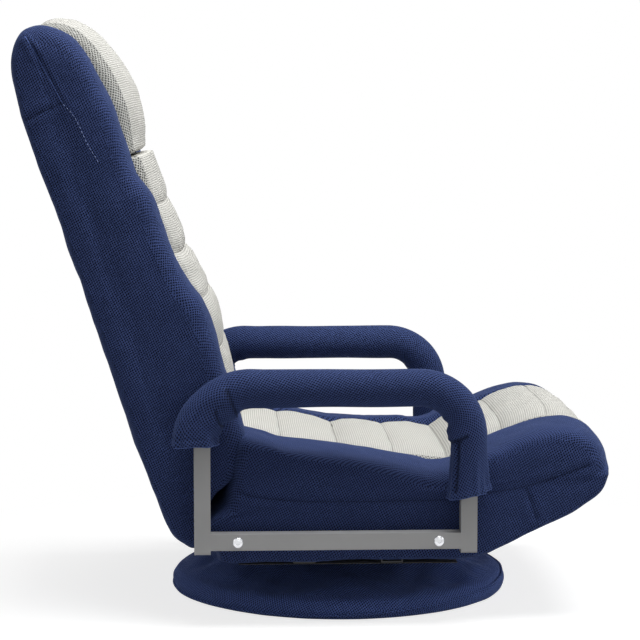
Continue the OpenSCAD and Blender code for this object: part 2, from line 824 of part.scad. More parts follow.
module seat_cushion() {
    color(navy)
        difference() {
            seat_blank();
            translate([-frame_room, -nose_start, 0])
                cube([2 * frame_room, nose_start - hinge_forward + 2 * sector_radius, frame_roof]);
            translate([0, -nose_start, rail_height])
                rotate([-nose_slope, 0, 0])
                    translate([-frame_room, -(nose_length + nose_tube), -nose_room])
                        cube([2 * frame_room, nose_length + 2 * nose_tube, 2 * nose_room]);
            for (s = [left, right])
                translate([s == left ? hinge_room_inner : -frame_room, -hinge_room_front, 0])
                    cube([frame_room - hinge_room_inner, hinge_room_length, hinge_room_roof]);
            for (f = [bolt_rear, bolt_front])
                translate([-seat_width / 2 - overrun, -f - bolt_room / 2, rail_height - bolt_room / 2])
                    cube([seat_width + 2 * overrun, bolt_room, bolt_room]);
        }
}

module seat_panel() {
    color(cream)
        channel_panel(on_seat(seat_crest_shares), on_seat(seat_floor_shares),
            seat_channels, channel_samples, channel_depth);
}

under_cloth_wall = 1.2;
under_cloth_half = 150;

module seat_bottom_cloth() {
    color(strap_black)
        translate([0, 0, bar_under - fit_gap - under_cloth_wall])
            linear_extrude(under_cloth_wall)
                difference() {
                    square([2 * rail_outer, 2 * under_cloth_half], center = true);
                    square(plate_side + 2 * kingpin_head_wall, center = true);
                }
}

// Hinges: plates side by side from the rail inward
cheek_outer = rail_inner - plate_wall;
sector_outer = cheek_outer - fit_gap;
sector_inner = sector_outer - plate_wall;
cheek_inner = sector_inner - fit_gap - plate_wall;
pin_radius = 6;
pin_head = 9;
pin_head_wall = 2.4;
cheek_radius = 18;
cheek_front = -112;
pawl_turn = -12;
pawl_pin_reach = 52;
pawl_pin_radius = 4;
pawl_half = 4.5;
pawl_pin_at = hinge + pawl_pin_reach * [cos(pawl_turn), sin(pawl_turn)];
tooth_depth = 2.2;
stop_block = 8;
spring_radius = 1.8;
spring_wall = 0.8;
stop_height = hinge_height + stop_block / 2;

// Toothed sector in front of the hinge axis, the arm that the hoop is welded to
// and the round behind the axis, as one outline seen from the side
sector_top = 112;
round_steps = 18;
function sector_points() =
    let (low = pawl_turn - recline_angle - tooth_pitch,
         high = pawl_turn + reset_angle + tooth_pitch,
         half_pitch = tooth_pitch / 2,
         rear = lean + half_turn)
    concat(
        [
            for (k = [0:floor((high - low) / half_pitch)])
                let (a = low + k * half_pitch)
                hinge + (sector_radius - (k % 2) * tooth_depth) * [cos(a), sin(a)]
        ],
        all_from_back([[cheek_radius, 0], [hoop_out + 3 * hoop_tube / 4, hoop_low],
            [hoop_out + hoop_tube / 2, sector_top], [hoop_out - hoop_tube / 2, sector_top],
            [hoop_out - hoop_tube / 2, hoop_low]], lean),
        [
            for (k = [0:round_steps])
                let (a = rear + (low + full_turn - rear) * k / round_steps)
                hinge + cheek_radius * [cos(a), sin(a)]
        ]);

module pin_hole(at, r) {
    difference() {
        children();
        translate(at)
            circle(r = r);
    }
}

module hinge_sector(side) {
    color(frame_black)
        mirror_side(side)
            difference() {
                across(sector_inner, sector_outer)
                    polygon(sector_points());
                across(sector_inner - overrun, sector_outer + overrun)
                    translate(hinge)
                        circle(r = pin_radius + running_gap);
            }
}
module hinge_sector_left() hinge_sector(left);
module hinge_sector_right() hinge_sector(right);

module cheek_outline() {
    pin_hole(pawl_pin_at, pawl_pin_radius + running_gap / 2)
        pin_hole(hinge, pin_radius + running_gap / 2)
            union() {
                translate(hinge)
                    circle(r = cheek_radius);
                translate([hinge_forward, rail_under])
                    square([cheek_front - hinge_forward, rail_side]);
            }
}

module hinge_cheeks(side) {
    color(frame_black)
        mirror_side(side)
            union() {
                across(cheek_outer, rail_inner)
                    cheek_outline();
                across(cheek_inner, cheek_inner + plate_wall)
                    cheek_outline();
                across(cheek_inner + plate_wall / 2, rail_inner - plate_wall / 2)
                    translate([pawl_pin_at.x - stop_block / 2, stop_height])
                        square([stop_block, rail_top - stop_height - overrun]);
            }
}
module hinge_cheeks_left() hinge_cheeks(left);
module hinge_cheeks_right() hinge_cheeks(right);

module headed_pin(at, r, head, from_x, to_x) {
    translate([from_x, -at.x, at.y])
        rotate([0, quarter_turn, 0])
            cylinder(h = to_x - from_x, r = r);
    translate([from_x - pin_head_wall, -at.x, at.y])
        rotate([0, quarter_turn, 0])
            cylinder(h = pin_head_wall, r = head);
}

module hinge_pin(side) {
    color(zinc)
        mirror_side(side)
            union() {
                headed_pin(hinge, pin_radius, pin_head,
                    cheek_inner - running_gap, rail_inner + running_gap);
                translate([rail_inner + running_gap, -hinge.x, hinge.y])
                    rotate([0, quarter_turn, 0])
                        cylinder(h = pin_head_wall, r = pin_head);
            }
}
module hinge_pin_left() hinge_pin(left);
module hinge_pin_right() hinge_pin(right);

module pawl_pin(side) {
    color(zinc)
        mirror_side(side)
            headed_pin(pawl_pin_at, pawl_pin_radius, pawl_pin_radius + pin_head_wall,
                cheek_inner - running_gap, rail_inner - running_gap);
}
module pawl_pin_left() pawl_pin(left);
module pawl_pin_right() pawl_pin(right);

module pawl(side) {
    tip = pawl_pin_reach - sector_radius - fit_gap;
    color(zinc)
        mirror_side(side)
            across(sector_inner, sector_outer)
                pin_hole(pawl_pin_at, pawl_pin_radius + running_gap)
                    translate(pawl_pin_at)
                        rotate(pawl_turn) {
                            circle(r = pawl_pin_radius + tooth_depth);
                            polygon([[0, pawl_half], [-tip + pawl_half, pawl_half], [-tip, 0],
                                [-tip + pawl_half, -pawl_half], [0, -pawl_half]]);
                        }
}
module pawl_left() pawl(left);
module pawl_right() pawl(right);

module pawl_spring(side) {
    low = pawl_pin_at.y + pawl_pin_radius + tooth_depth + fit_gap;
    color(zinc)
        mirror_side(side)
            translate([(sector_inner + sector_outer) / 2, -pawl_pin_at.x, low])
                difference() {
                    cylinder(h = stop_height - low - running_gap, r = spring_radius, $fn = coarse_round);
                    translate([0, 0, -overrun])
                        cylinder(h = stop_height - low + 2 * overrun, r = spring_radius - spring_wall,
                            $fn = coarse_round);
                }
}
module pawl_spring_left() pawl_spring(left);
module pawl_spring_right() pawl_spring(right);

// Back frame, drawn upright about the hinge axis: hoop, cross tubes, straps
module hoop_path(r, extra) {
    translate([0, -hoop_out, 0]) {
        for (s = [left, right]) {
            rod([s * hoop_x, 0, hoop_low - extra], [s * hoop_x, 0, hoop_high - hoop_corner], r);
            translate([s * (hoop_x - hoop_corner), 0, hoop_high - hoop_corner])
                rotate([quarter_turn, 0, 0])
                    rotate(s == left ? 0 : quarter_turn)
                        rotate_extrude(angle = quarter_turn, $fn = coarse_round)
                            translate([hoop_corner, 0])
                                circle(r = r, $fn = coarse_round);
        }
        rod([hoop_corner - hoop_x, 0, hoop_high], [hoop_x - hoop_corner, 0, hoop_high], r);
    }
}

module back_hoop() {
    color(frame_black)
        in_back()
            difference() {
                hoop_path(hoop_tube / 2, 0);
                hoop_path(hoop_tube / 2 - tube_wall, overrun);
            }
}

back_cross_alongs = [130, 400];

module back_cross_tubes() {
    color(frame_black)
        in_back()
            for (a = back_cross_alongs)
                translate([0, -hoop_out, a])
                    cross_member(hoop_x - hoop_tube / 2);
}

back_strap_alongs = [185, 255, 325, 455, 525];

module back_straps() {
    color(strap_black)
        in_back()
            for (a = back_strap_alongs)
                translate([-hoop_x, -(hoop_out + hoop_tube / 2 + strap_lift + strap_wall), a])
                    cube([2 * hoop_x, strap_wall, strap_width]);
}

// Arm frames: a bent square tube closed by a bottom rail, with its padding
post_foot = rail_height - arm_half - post_overrun;

module arm_path(half, extra) {
    low = arm_top - arm_bend;
    for (f = [arm_rear, arm_front])
        translate([arm_x - half, -f - half, post_foot - extra])
            cube([2 * half, 2 * half, low - post_foot + extra]);
    translate([arm_x, -(arm_rear + arm_bend), low])
        rotate([quarter_turn, 0, quarter_turn])
            rotate_extrude(angle = quarter_turn)
                translate([arm_bend, 0])
                    square(2 * half, center = true);
    translate([arm_x, -(arm_front - arm_bend), low])
        rotate([quarter_turn, -quarter_turn, quarter_turn])
            rotate_extrude(angle = quarter_turn)
                translate([arm_bend, 0])
                    square(2 * half, center = true);
    translate([arm_x - half, -(arm_front - arm_bend), arm_top - half])
        cube([2 * half, arm_front - arm_rear - 2 * arm_bend, 2 * half]);
}

module arm_frame(side) {
    inner = arm_half - arm_wall;
    span = arm_front - arm_rear;
    color(tube_grey)
        mirror_side(side)
            difference() {
                union() {
                    arm_path(arm_half, 0);
                    translate([arm_x - arm_half, -arm_front, rail_height - arm_half])
                        cube([arm_tube, span, arm_tube]);
                }
                arm_path(inner, overrun);
                translate([arm_x - inner, -arm_front, rail_height - inner])
                    cube([2 * inner, span, 2 * inner]);
                for (f = [bolt_rear, bolt_front])
                    translate([arm_x - arm_tube, -f, rail_height])
                        rotate([0, quarter_turn, 0])
                            cylinder(h = 2 * arm_tube, d = bolt_size + 2 * running_gap);
            }
}
module arm_frame_left() arm_frame(left);
module arm_frame_right() arm_frame(right);

cap_wall = 2;
cap_plug = 9;

module arm_caps(side) {
    plug = arm_half - arm_wall - running_gap;
    color(tube_grey)
        mirror_side(side)
            for (f = [arm_rear, arm_front]) {
                translate([arm_x - arm_half, -f - arm_half, post_foot - cap_wall])
                    cube([arm_tube, arm_tube, cap_wall]);
                translate([arm_x - plug, -f - plug, post_foot - cap_wall])
                    cube([2 * plug, 2 * plug, cap_wall + cap_plug]);
            }
}
module arm_caps_left() arm_caps(left);
module arm_caps_right() arm_caps(right);

foam_end_gap = 4;

module arm_foam(side) {
    length = arm_front - arm_rear - 2 * arm_bend - 2 * foam_end_gap;
    foam_radius = (pad_radius - cloth_wall) * cos(full_turn / sleeve_sides / 2) - soft_gap;
    bore = arm_tube + 2 * fit_gap;
    color(strap_black)
        mirror_side(side)
            translate([arm_x, -(arm_rear + arm_bend + foam_end_gap), arm_top])
                rotate([quarter_turn, 0, 0])
                    difference() {
                        cylinder(h = length, r = foam_radius);
                        translate([-bore / 2, -bore / 2, -overrun])
                            cube([bore, bore, length + 2 * overrun]);
                    }
}
module arm_foam_left() arm_foam(left);
module arm_foam_right() arm_foam(right);

// Padded cover of an arm. A station is a point of the tube's centreline, the
// turn of the section there, its half depth along the loop and the half
// widths on its inner and outer sides.
sleeve_sides = 12;
cuff_inner = 16.5;
bend_steps = 4;

function sleeve_arc(f, turn_from, turn_to) = [
    for (k = [0:bend_steps])
        let (a = turn_from + (turn_to - turn_from) * k / bend_steps,
             down = abs(a - quarter_turn) / quarter_turn)
        [[f + arm_bend * cos(a), arm_top - arm_bend + arm_bend * sin(a)], a + quarter_turn,
            pad_radius + cuff_swell, pad_radius + down * (cuff_mid - pad_radius), pad_radius]
];
cuff_swell = 1.5;
cuff_mid = 21;
sleeve_stations = concat(
    [[[arm_rear, cuff_rear_hem], half_turn + quarter_turn,
        pad_radius + cuff_flare, cuff_inner, pad_radius + cuff_swell]],
    sleeve_arc(arm_rear + arm_bend, half_turn, quarter_turn),
    [for (k = [1:3]) let (f = arm_rear + arm_bend + k * (arm_front - arm_rear - 2 * arm_bend) / 4)
        [[f, arm_top], half_turn, pad_radius, pad_radius, pad_radius]],
    sleeve_arc(arm_front - arm_bend, quarter_turn, 0),
    [for (k = [1:2]) let (z = arm_top - arm_bend + k * (cuff_front_hem - arm_top + arm_bend) / 2)
        [[arm_front, z], quarter_turn,
            pad_radius + k * cuff_flare / 3, cuff_inner, pad_radius + cuff_swell]]);

function sleeve_ring(s, inset) = [
    for (k = [0:sleeve_sides - 1])
        let (a = (k + 0.5) * full_turn / sleeve_sides, deep = (s[2] - inset) * cos(a),
             wide = (sin(a) < 0 ? s[3] - inset : s[4] - inset) * sin(a),
             p = s[0] + deep * [-sin(s[1]), cos(s[1])])
        [arm_x + wide, -p.x, p.y]
];

module arm_cover(side) {
    last = len(sleeve_stations) - 1;
    n = sleeve_sides;
    points = concat(
        [for (s = sleeve_stations) each sleeve_ring(s, 0)],
        [for (s = sleeve_stations) each sleeve_ring(s, cloth_wall)]);
    inside = (last + 1) * n;
    walls = [
        for (i = [0:last - 1])
            for (j = [0:n - 1])
                let (a = i * n + j, b = i * n + (j + 1) % n, c = a + n, d = b + n, e = inside)
                each [[a, b, c], [b, d, c], [a + e, c + e, b + e], [b + e, c + e, d + e]]
    ];
    hems = [
        for (i = [0, last])
            for (j = [0:n - 1])
                let (a = i * n + j, b = i * n + (j + 1) % n, c = a + inside, d = b + inside)
                each (i == 0 ? [[a, c, b], [b, c, d]] : [[a, b, c], [b, d, c]])
    ];
    color(navy)
        mirror_side(side)
            polyhedron(points, concat(walls, hems));
}
module arm_cover_left() arm_cover(left);
module arm_cover_right() arm_cover(right);

// Arm fasteners: bolt, spacer through the cushion side, rivet nut in the rail
head_height = 4.6;
dome_angles = [20:15:80];
socket_radius = 3;
socket_depth = 2.6;
rivet_flange = 1.5;
rivet_depth = 15;

module at_arm_bolts(side, x) {
    mirror_side(side)
        for (f = [bolt_rear, bolt_front])
            translate([x, -f, rail_height])
                rotate([0, quarter_turn, 0])
                    children();
}

module arm_bolts(side) {
    length = arm_x + arm_half - rail_outer + rivet_depth;
    color(zinc)
        at_arm_bolts(side, arm_x + arm_half)
            difference() {
                union() {
                    translate([0, 0, -length])
                        cylinder(h = length + running_gap, d = bolt_size);
                    rotate_extrude()
                        polygon(concat([[0, 0], [bolt_head / 2, 0]],
                            [for (a = dome_angles) [bolt_head / 2 * cos(a), head_height * sin(a)]],
                            [[0, head_height]]));
                }
                translate([0, 0, head_height - socket_depth])
                    cylinder(h = head_height, r = socket_radius, $fn = 6);
            }
}
module arm_bolts_left() arm_bolts(left);
module arm_bolts_right() arm_bolts(right);

module arm_rivet_nuts(side) {
    color(zinc)
        at_arm_bolts(side, rail_outer)
            difference() {
                union() {
                    translate([0, 0, -rivet_depth])
                        cylinder(h = rivet_depth, r = rivet_radius);
                    cylinder(h = rivet_flange, r = rivet_radius + rivet_flange);
                }
                translate([0, 0, -rivet_depth - overrun])
                    cylinder(h = rivet_depth + rivet_flange + 2 * overrun, d = bolt_size + 2 * running_gap);
            }
}
module arm_rivet_nuts_left() arm_rivet_nuts(left);
module arm_rivet_nuts_right() arm_rivet_nuts(right);

module arm_spacers(side) {
    length = arm_x - arm_half - rail_outer - rivet_flange;
    color(zinc)
        at_arm_bolts(side, rail_outer + rivet_flange)
            difference() {
                cylinder(h = length, r = spacer_radius);
                translate([0, 0, -overrun])
                    cylinder(h = length + 2 * overrun, d = bolt_size + 2 * running_gap);
            }
}
module arm_spacers_left() arm_spacers(left);
module arm_spacers_right() arm_spacers(right);

base_bottom_cloth();
base_ring();
base_spokes();
base_hub_plate();
base_cover();
swivel_lower_plate();
swivel_ball_cage();
swivel_balls();
swivel_upper_plate();
swivel_kingpin();
swivel_kingpin_nut();
swivel_lower_bolts();
swivel_upper_bolts();
swivel_bars();
seat_rail_left();
seat_rail_right();
seat_cross_tubes();
seat_nose_hoop();
seat_straps();
seat_cushion();
seat_panel();
seat_bottom_cloth();
hinge_cheeks_left();
hinge_cheeks_right();
hinge_pin_left();
hinge_pin_right();
hinge_sector_left();
hinge_sector_right();
pawl_left();
pawl_right();
pawl_pin_left();
pawl_pin_right();
pawl_spring_left();
pawl_spring_right();
back_hoop();
back_cross_tubes();
back_straps();
back_cushion();
back_panel();
headrest_pad();
arm_frame_left();
arm_frame_right();
arm_caps_left();
arm_caps_right();
arm_foam_left();
arm_foam_right();
arm_cover_left();
arm_cover_right();
arm_bolts_left();
arm_bolts_right();
arm_rivet_nuts_left();
arm_rivet_nuts_right();
arm_spacers_left();
arm_spacers_right();
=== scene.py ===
"""Floor chair: sewn covers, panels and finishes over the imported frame. Shapes are worked out in millimetres, and
piece() turns them into metres. The chair faces -Y, and the photograph shows its right side, at -X."""

import json
import math

import bmesh
import bpy
import numpy as np
from mathutils import Matrix, Vector
from mathutils.bvhtree import BVHTree


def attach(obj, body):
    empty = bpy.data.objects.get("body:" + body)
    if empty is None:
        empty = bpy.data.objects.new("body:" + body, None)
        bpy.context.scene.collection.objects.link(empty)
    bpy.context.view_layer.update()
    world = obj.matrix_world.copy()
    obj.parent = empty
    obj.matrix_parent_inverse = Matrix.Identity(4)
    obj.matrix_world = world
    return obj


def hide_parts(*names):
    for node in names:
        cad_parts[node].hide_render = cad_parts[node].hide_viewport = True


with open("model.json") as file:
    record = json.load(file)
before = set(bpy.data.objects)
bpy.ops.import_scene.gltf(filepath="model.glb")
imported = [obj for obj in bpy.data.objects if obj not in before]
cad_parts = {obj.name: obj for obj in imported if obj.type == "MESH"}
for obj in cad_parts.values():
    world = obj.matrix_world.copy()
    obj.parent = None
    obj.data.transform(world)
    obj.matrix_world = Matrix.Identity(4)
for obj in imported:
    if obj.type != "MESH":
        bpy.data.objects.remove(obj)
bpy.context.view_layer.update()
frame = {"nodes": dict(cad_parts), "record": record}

MM = 0.001
NONE_NEAR = 900.0  # distance to a seam, thread or lap where there is none
SIDES = ((-1, "right"), (1, "left"))

# ---- surfaces


def smooth(points, per_span, closed=False):
    """Catmull-Rom curve: through each point, with the slope of its two neighbours' chord."""
    p = np.asarray(points, float)
    ring = np.vstack([p[-1:], p, p[:2]]) if closed else np.vstack([2 * p[:1] - p[1:2], p, 2 * p[-1:] - p[-2:-1]])
    t = (np.arange(per_span) / per_span)[None, :, None]
    a, b, c, d = (ring[k:len(ring) - 3 + k][:, None] for k in range(4))
    fine = 0.5 * (2 * b + (c - a) * t + (2 * a - 5 * b + 4 * c - d) * t**2 + (3 * b - a - 3 * c + d) * t**3)
    fine = fine.reshape(-1, p.shape[1])
    return fine if closed else np.vstack([fine, p[-1:]])


def step(low, high, value):
    """0 below low, 1 above high, 3t^2 - 2t^3 between."""
    t = np.clip((np.asarray(value, float) - low) / (high - low), 0, 1)
    return t * t * (3 - 2 * t)


def lengths(line):
    """Distance run along a line up to each of its points."""
    return np.concatenate([[0], np.cumsum(np.linalg.norm(np.diff(line, axis=0), axis=1))])


def even(line, count):
    """The same line with count points at equal distances."""
    run = lengths(line)
    at = np.linspace(0, run[-1], count)
    return np.stack([np.interp(at, run, column) for column in line.T], 1)


def row_run(grid):
    """Distance run over the rows of a grid, as a mean of its columns."""
    return np.concatenate([[0], np.cumsum(np.linalg.norm(np.diff(grid, axis=0), axis=-1).mean(1))])


def circle(count):
    """Angles of equal steps once round."""
    return np.linspace(0, 2 * math.pi, count, endpoint=False)


def stacked(*columns):
    """Points from their coordinates, which are broadcast to one shape."""
    return np.stack(np.broadcast_arrays(*columns), -1)


def bell(value, width):
    """1 at 0 and 1/e at the width: exp(-(value / width)^2)."""
    return np.exp(-(value / width) ** 2)


def ripple(points, pitch, seed, terms=9):
    """Uneven waves, about -1 to 1: a sum of sines whose directions and pitches are drawn with a fixed seed."""
    draw = np.random.default_rng(seed)
    way = draw.normal(size=(terms, points.shape[-1]))
    way *= (2 * math.pi / (pitch * draw.uniform(0.7, 1.5, terms)) / np.linalg.norm(way, axis=1))[:, None]
    return np.sin(points @ way.T + draw.uniform(0, 6.28, terms)).sum(-1) / math.sqrt(terms) * 0.9


def line_gap(points, line):
    """Signed distance of 2-D points to a line of segments: above 0 on its left."""
    a, b = line[:-1], line[1:]
    way = b - a
    rel = points[..., None, :] - a
    t = np.clip((rel * way).sum(-1) / (way * way).sum(-1), 0, 1)
    off = rel - t[..., None] * way
    gap = np.linalg.norm(off, axis=-1)
    near = gap.argmin(-1)[..., None]
    side = way[:, 0] * rel[..., 1] - way[:, 1] * rel[..., 0]
    return np.take_along_axis(gap * np.where(side >= 0, 1, -1), near, -1)[..., 0]


def outward(grid, around=True):
    """Unit normals of a grid of points: the cross product of its two differences."""
    du = np.gradient(grid, axis=0)
    if around:
        wide = np.concatenate([grid[:, -1:], grid, grid[:, :1]], 1)
        dv = (wide[:, 2:] - wide[:, :-2]) / 2
    else:
        dv = np.gradient(grid, axis=1)
    n = np.cross(du, dv)
    return n / np.maximum(np.linalg.norm(n, axis=-1, keepdims=True), 1e-12)


def weld(mesh, near=2e-5, thin=1e-6):
    """Points nearer than near become one, edges shorter than thin go, and all faces are turned outwards."""
    b = bmesh.new()
    b.from_mesh(mesh)
    bmesh.ops.remove_doubles(b, verts=b.verts, dist=near)
    if thin:
        bmesh.ops.dissolve_degenerate(b, edges=b.edges, dist=thin)
    bmesh.ops.recalc_face_normals(b, faces=b.faces)
    b.to_mesh(mesh)
    b.free()


def piece(name, grid, finish, around=True, weave=None, marks=None, wall_rows=(), welded=True, turn=False):
    """A grid of points (rows, columns) becomes a mesh of quads. weave gives each point's place in the cloth in
    metres, with one column more than the grid when it goes around; the faces of wall_rows take their place from
    their own y and z. marks are values in metres kept on the points. turn turns the faces over."""
    rows, cols = grid.shape[:2]
    span = cols if around else cols - 1
    i, j = np.meshgrid(np.arange(rows - 1), np.arange(span), indexing="ij")
    ci = np.stack([i, i, i + 1, i + 1], -1).reshape(-1, 4)
    cj = np.stack([j, j + 1, j + 1, j], -1).reshape(-1, 4)
    if turn:
        ci, cj = ci[:, ::-1], cj[:, ::-1]
    quads = ci * cols + cj % cols
    mesh = bpy.data.meshes.new(name)
    mesh.vertices.add(rows * cols)
    mesh.vertices.foreach_set("co", (grid * MM).astype(np.float32).ravel())
    mesh.loops.add(quads.size)
    mesh.loops.foreach_set("vertex_index", quads.ravel().astype(np.int32))
    mesh.polygons.add(len(quads))
    mesh.polygons.foreach_set("loop_start", np.arange(0, quads.size, 4, dtype=np.int32))
    mesh.polygons.foreach_set("loop_total", np.full(len(quads), 4, np.int32))
    mesh.update(calc_edges=True)
    if weave is not None:
        flat = weave[ci, cj]
        if len(wall_rows):
            on_wall = np.isin(i.reshape(-1), wall_rows)
            flat = np.where(on_wall[:, None, None], grid[ci, cj % cols][:, :, 1:] * MM, flat)
        layer = mesh.uv_layers.new(name="weave")
        layer.data.foreach_set("uv", flat.astype(np.float32).ravel())
    unmarked = dict.fromkeys(("seam", "thread", "lap"), NONE_NEAR * MM)
    for key, value in {**unmarked, **(marks or {})}.items():
        kept = mesh.attributes.new(key, "FLOAT", "POINT")
        kept.data.foreach_set("value", np.broadcast_to(value, (rows, cols)).astype(np.float32).ravel())
    mesh.validate()
    if welded:
        weld(mesh)
    mesh.polygons.foreach_set("use_smooth", np.ones(len(mesh.polygons), bool))
    obj = bpy.data.objects.new(name, mesh)
    bpy.context.collection.objects.link(obj)
    mesh.materials.append(finish)
    return obj


def tube(name, line, radius, sides, finish, closed=False):
    """A round cord along a line: circles in the planes square to it. Their angles count from the direction that is
    square to the line and to X, or to Z where the line runs along X."""
    line = np.asarray(line, float)
    way = np.roll(line, -1, 0) - np.roll(line, 1, 0) if closed else np.gradient(line, axis=0)
    way /= np.linalg.norm(way, axis=1, keepdims=True)
    first = np.cross(way, [1.0, 0, 0])
    weak = np.linalg.norm(first, axis=1) < 0.3
    first[weak] = np.cross(way[weak], [0, 0, 1.0])
    first /= np.linalg.norm(first, axis=1, keepdims=True)
    second = np.cross(way, first)
    a = circle(sides)[:, None]
    grid = line[:, None] + radius * (np.cos(a) * first[:, None] + np.sin(a) * second[:, None])
    run = lengths(line)
    if closed:
        grid = np.concatenate([grid, grid[:1]])
        run = np.append(run, run[-1] + np.linalg.norm(line[0] - line[-1]))
    else:
        grid = np.concatenate([line[:1, None].repeat(sides, 1), grid, line[-1:, None].repeat(sides, 1)])
        run = np.concatenate([run[:1], run, run[-1:]])
    across = np.linspace(0, 2 * math.pi, sides + 1) * radius
    return piece(name, grid, finish, weave=stacked(across, run[:, None]) * MM)


def put(x, f, z):
    """Points of the frame, in millimetres, from across, forward and up."""
    return stacked(x, -np.asarray(f, float), z)


LEAN = math.radians(18)
HINGE = np.array([-190.0, 122.0])


def from_back(out, along):
    """(forward, up) of a point out from and along the leaning back, from the hinge axis."""
    return np.stack([HINGE[0] - along * math.sin(LEAN) + out * math.cos(LEAN),
                     HINGE[1] + along * math.cos(LEAN) + out * math.sin(LEAN)], -1)


def wear(obj, body, slot, *nodes, fill=None):
    """The piece rides on a body and stands for CAD nodes, which are hidden. The slot is not used."""
    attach(obj, body)
    if nodes:
        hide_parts(*nodes)
    return obj


# ---- materials


class Value:
    """One socket of a node tree. Arithmetic on values adds Math nodes."""

    def __init__(self, nodes, socket):
        self.nodes, self.socket = nodes, socket

    def math(self, operation, *values, clamp=False):
        return self.nodes.node("ShaderNodeMath", {"operation": operation, "use_clamp": clamp}, *values)

    def __add__(self, other): return self.math("ADD", self, other)
    def __radd__(self, other): return self.math("ADD", other, self)
    def __sub__(self, other): return self.math("SUBTRACT", self, other)
    def __rsub__(self, other): return self.math("SUBTRACT", other, self)
    def __mul__(self, other): return self.math("MULTIPLY", self, other)
    def __abs__(self): return self.math("ABSOLUTE", self)
    def sin(self): return self.math("SINE", self)
    def cos(self): return self.math("COSINE", self)
    def most(self, other): return self.math("MAXIMUM", self, other)
    def clamped(self): return self.math("ADD", self, 0.0, clamp=True)

    def wave(self, pitch):
        """A sine of the given pitch, from 0 to 1."""
        return (self * (2 * math.pi / pitch)).sin() * 0.5 + 0.5

    def between(self, low, high):
        """0 below low, 1 above high and smooth between."""
        return self.nodes.node("ShaderNodeMapRange", {"interpolation_type": "SMOOTHSTEP"}, self, low, high, 0.0, 1.0)


class Nodes:
    """A node tree, emptied first: one method adds any node."""

    def __init__(self, tree):
        self.tree = tree
        tree.nodes.clear()

    def node(self, kind, settings=None, *values, out=0, **named):
        made = self.tree.nodes.new(kind)
        for key, value in (settings or {}).items():
            setattr(made, key, value)
        for key, value in [*enumerate(values), *named.items()]:
            if value is not None:
                self.feed(made.inputs[key if isinstance(key, int) else key.replace("_", " ")], value)
        return Value(self, made.outputs[out] if made.outputs else None)

    def feed(self, socket, value):
        """A value is linked to the socket, a number or a colour is set."""
        if isinstance(value, Value):
            self.tree.links.new(value.socket, socket)
        elif isinstance(value, (tuple, list)) and len(value) == 3 and socket.type == "RGBA":
            socket.default_value = (*value, 1)
        else:
            socket.default_value = value

    def seen(self):
        """1 for rays from the camera, also after a mirror or glass, and 0 for the rays that carry light about."""
        direct, *others = [self.node("ShaderNodeLightPath", out=f"Is {kind} Ray")
                           for kind in ("Camera", "Glossy", "Transmission")]
        return direct.most(others[0]).most(others[1])


class Finish(Nodes):
    """A material with one principled shader."""

    def __init__(self, name, **sockets):
        self.material = bpy.data.materials.new(name)
        self.material.use_nodes = True
        super().__init__(self.material.node_tree)
        shader = self.node("ShaderNodeBsdfPrincipled")
        self.node("ShaderNodeOutputMaterial", None, shader)
        self.inputs = shader.socket.node.inputs
        self.set(**sockets)

    def set(self, **sockets):
        for key, value in sockets.items():
            self.feed(self.inputs[key.replace("_", " ")], value)

    def mix(self, mask, low, high):
        """The colour low where the mask is 0, and high where it is 1."""
        return self.node("ShaderNodeMix", {"data_type": "RGBA"}, mask, *[None] * 5, low, high, out=2)

    def where(self):
        """The point in the piece's own coordinates, in metres."""
        return self.node("ShaderNodeTexCoord", out="Object")

    def parts(self, vector):
        outputs = self.node("ShaderNodeSeparateXYZ", None, vector).socket.node.outputs
        return [Value(self, socket) for socket in outputs]

    def cloth(self):
        """Place in the cloth, from the piece's own weave map, in metres."""
        where = self.node("ShaderNodeUVMap", {"uv_map": "weave"})
        return where, *self.parts(where)[:2]

    def mark(self, name):
        """A value kept on the piece's points."""
        return self.node("ShaderNodeAttribute", {"attribute_name": name, "attribute_type": "GEOMETRY"}, out="Fac")

    def noise(self, where, scale, detail=2.0, rough=0.5):
        return self.node("ShaderNodeTexNoise", {"noise_dimensions": "3D"}, Vector=where, Scale=scale,
                         Detail=detail, Roughness=rough)

    def bump(self, height, strength=0.5, distance=0.001):
        return self.node("ShaderNodeBump", Strength=strength, Distance=distance, Height=height)


def times(colour, by):
    """A colour made lighter or darker."""
    return tuple(c * by for c in colour)


NET_TURN = 0.26


def holes(u, v, wide, tall):
    """Knitted holes: the product of two waves peaks at the points of a staggered net, turned a little."""
    across = u * math.cos(NET_TURN) + v * math.sin(NET_TURN)
    along = v * math.cos(NET_TURN) - u * math.sin(NET_TURN)
    return (across * (2 * math.pi / wide)).cos() * (along * (2 * math.pi / tall)).cos()


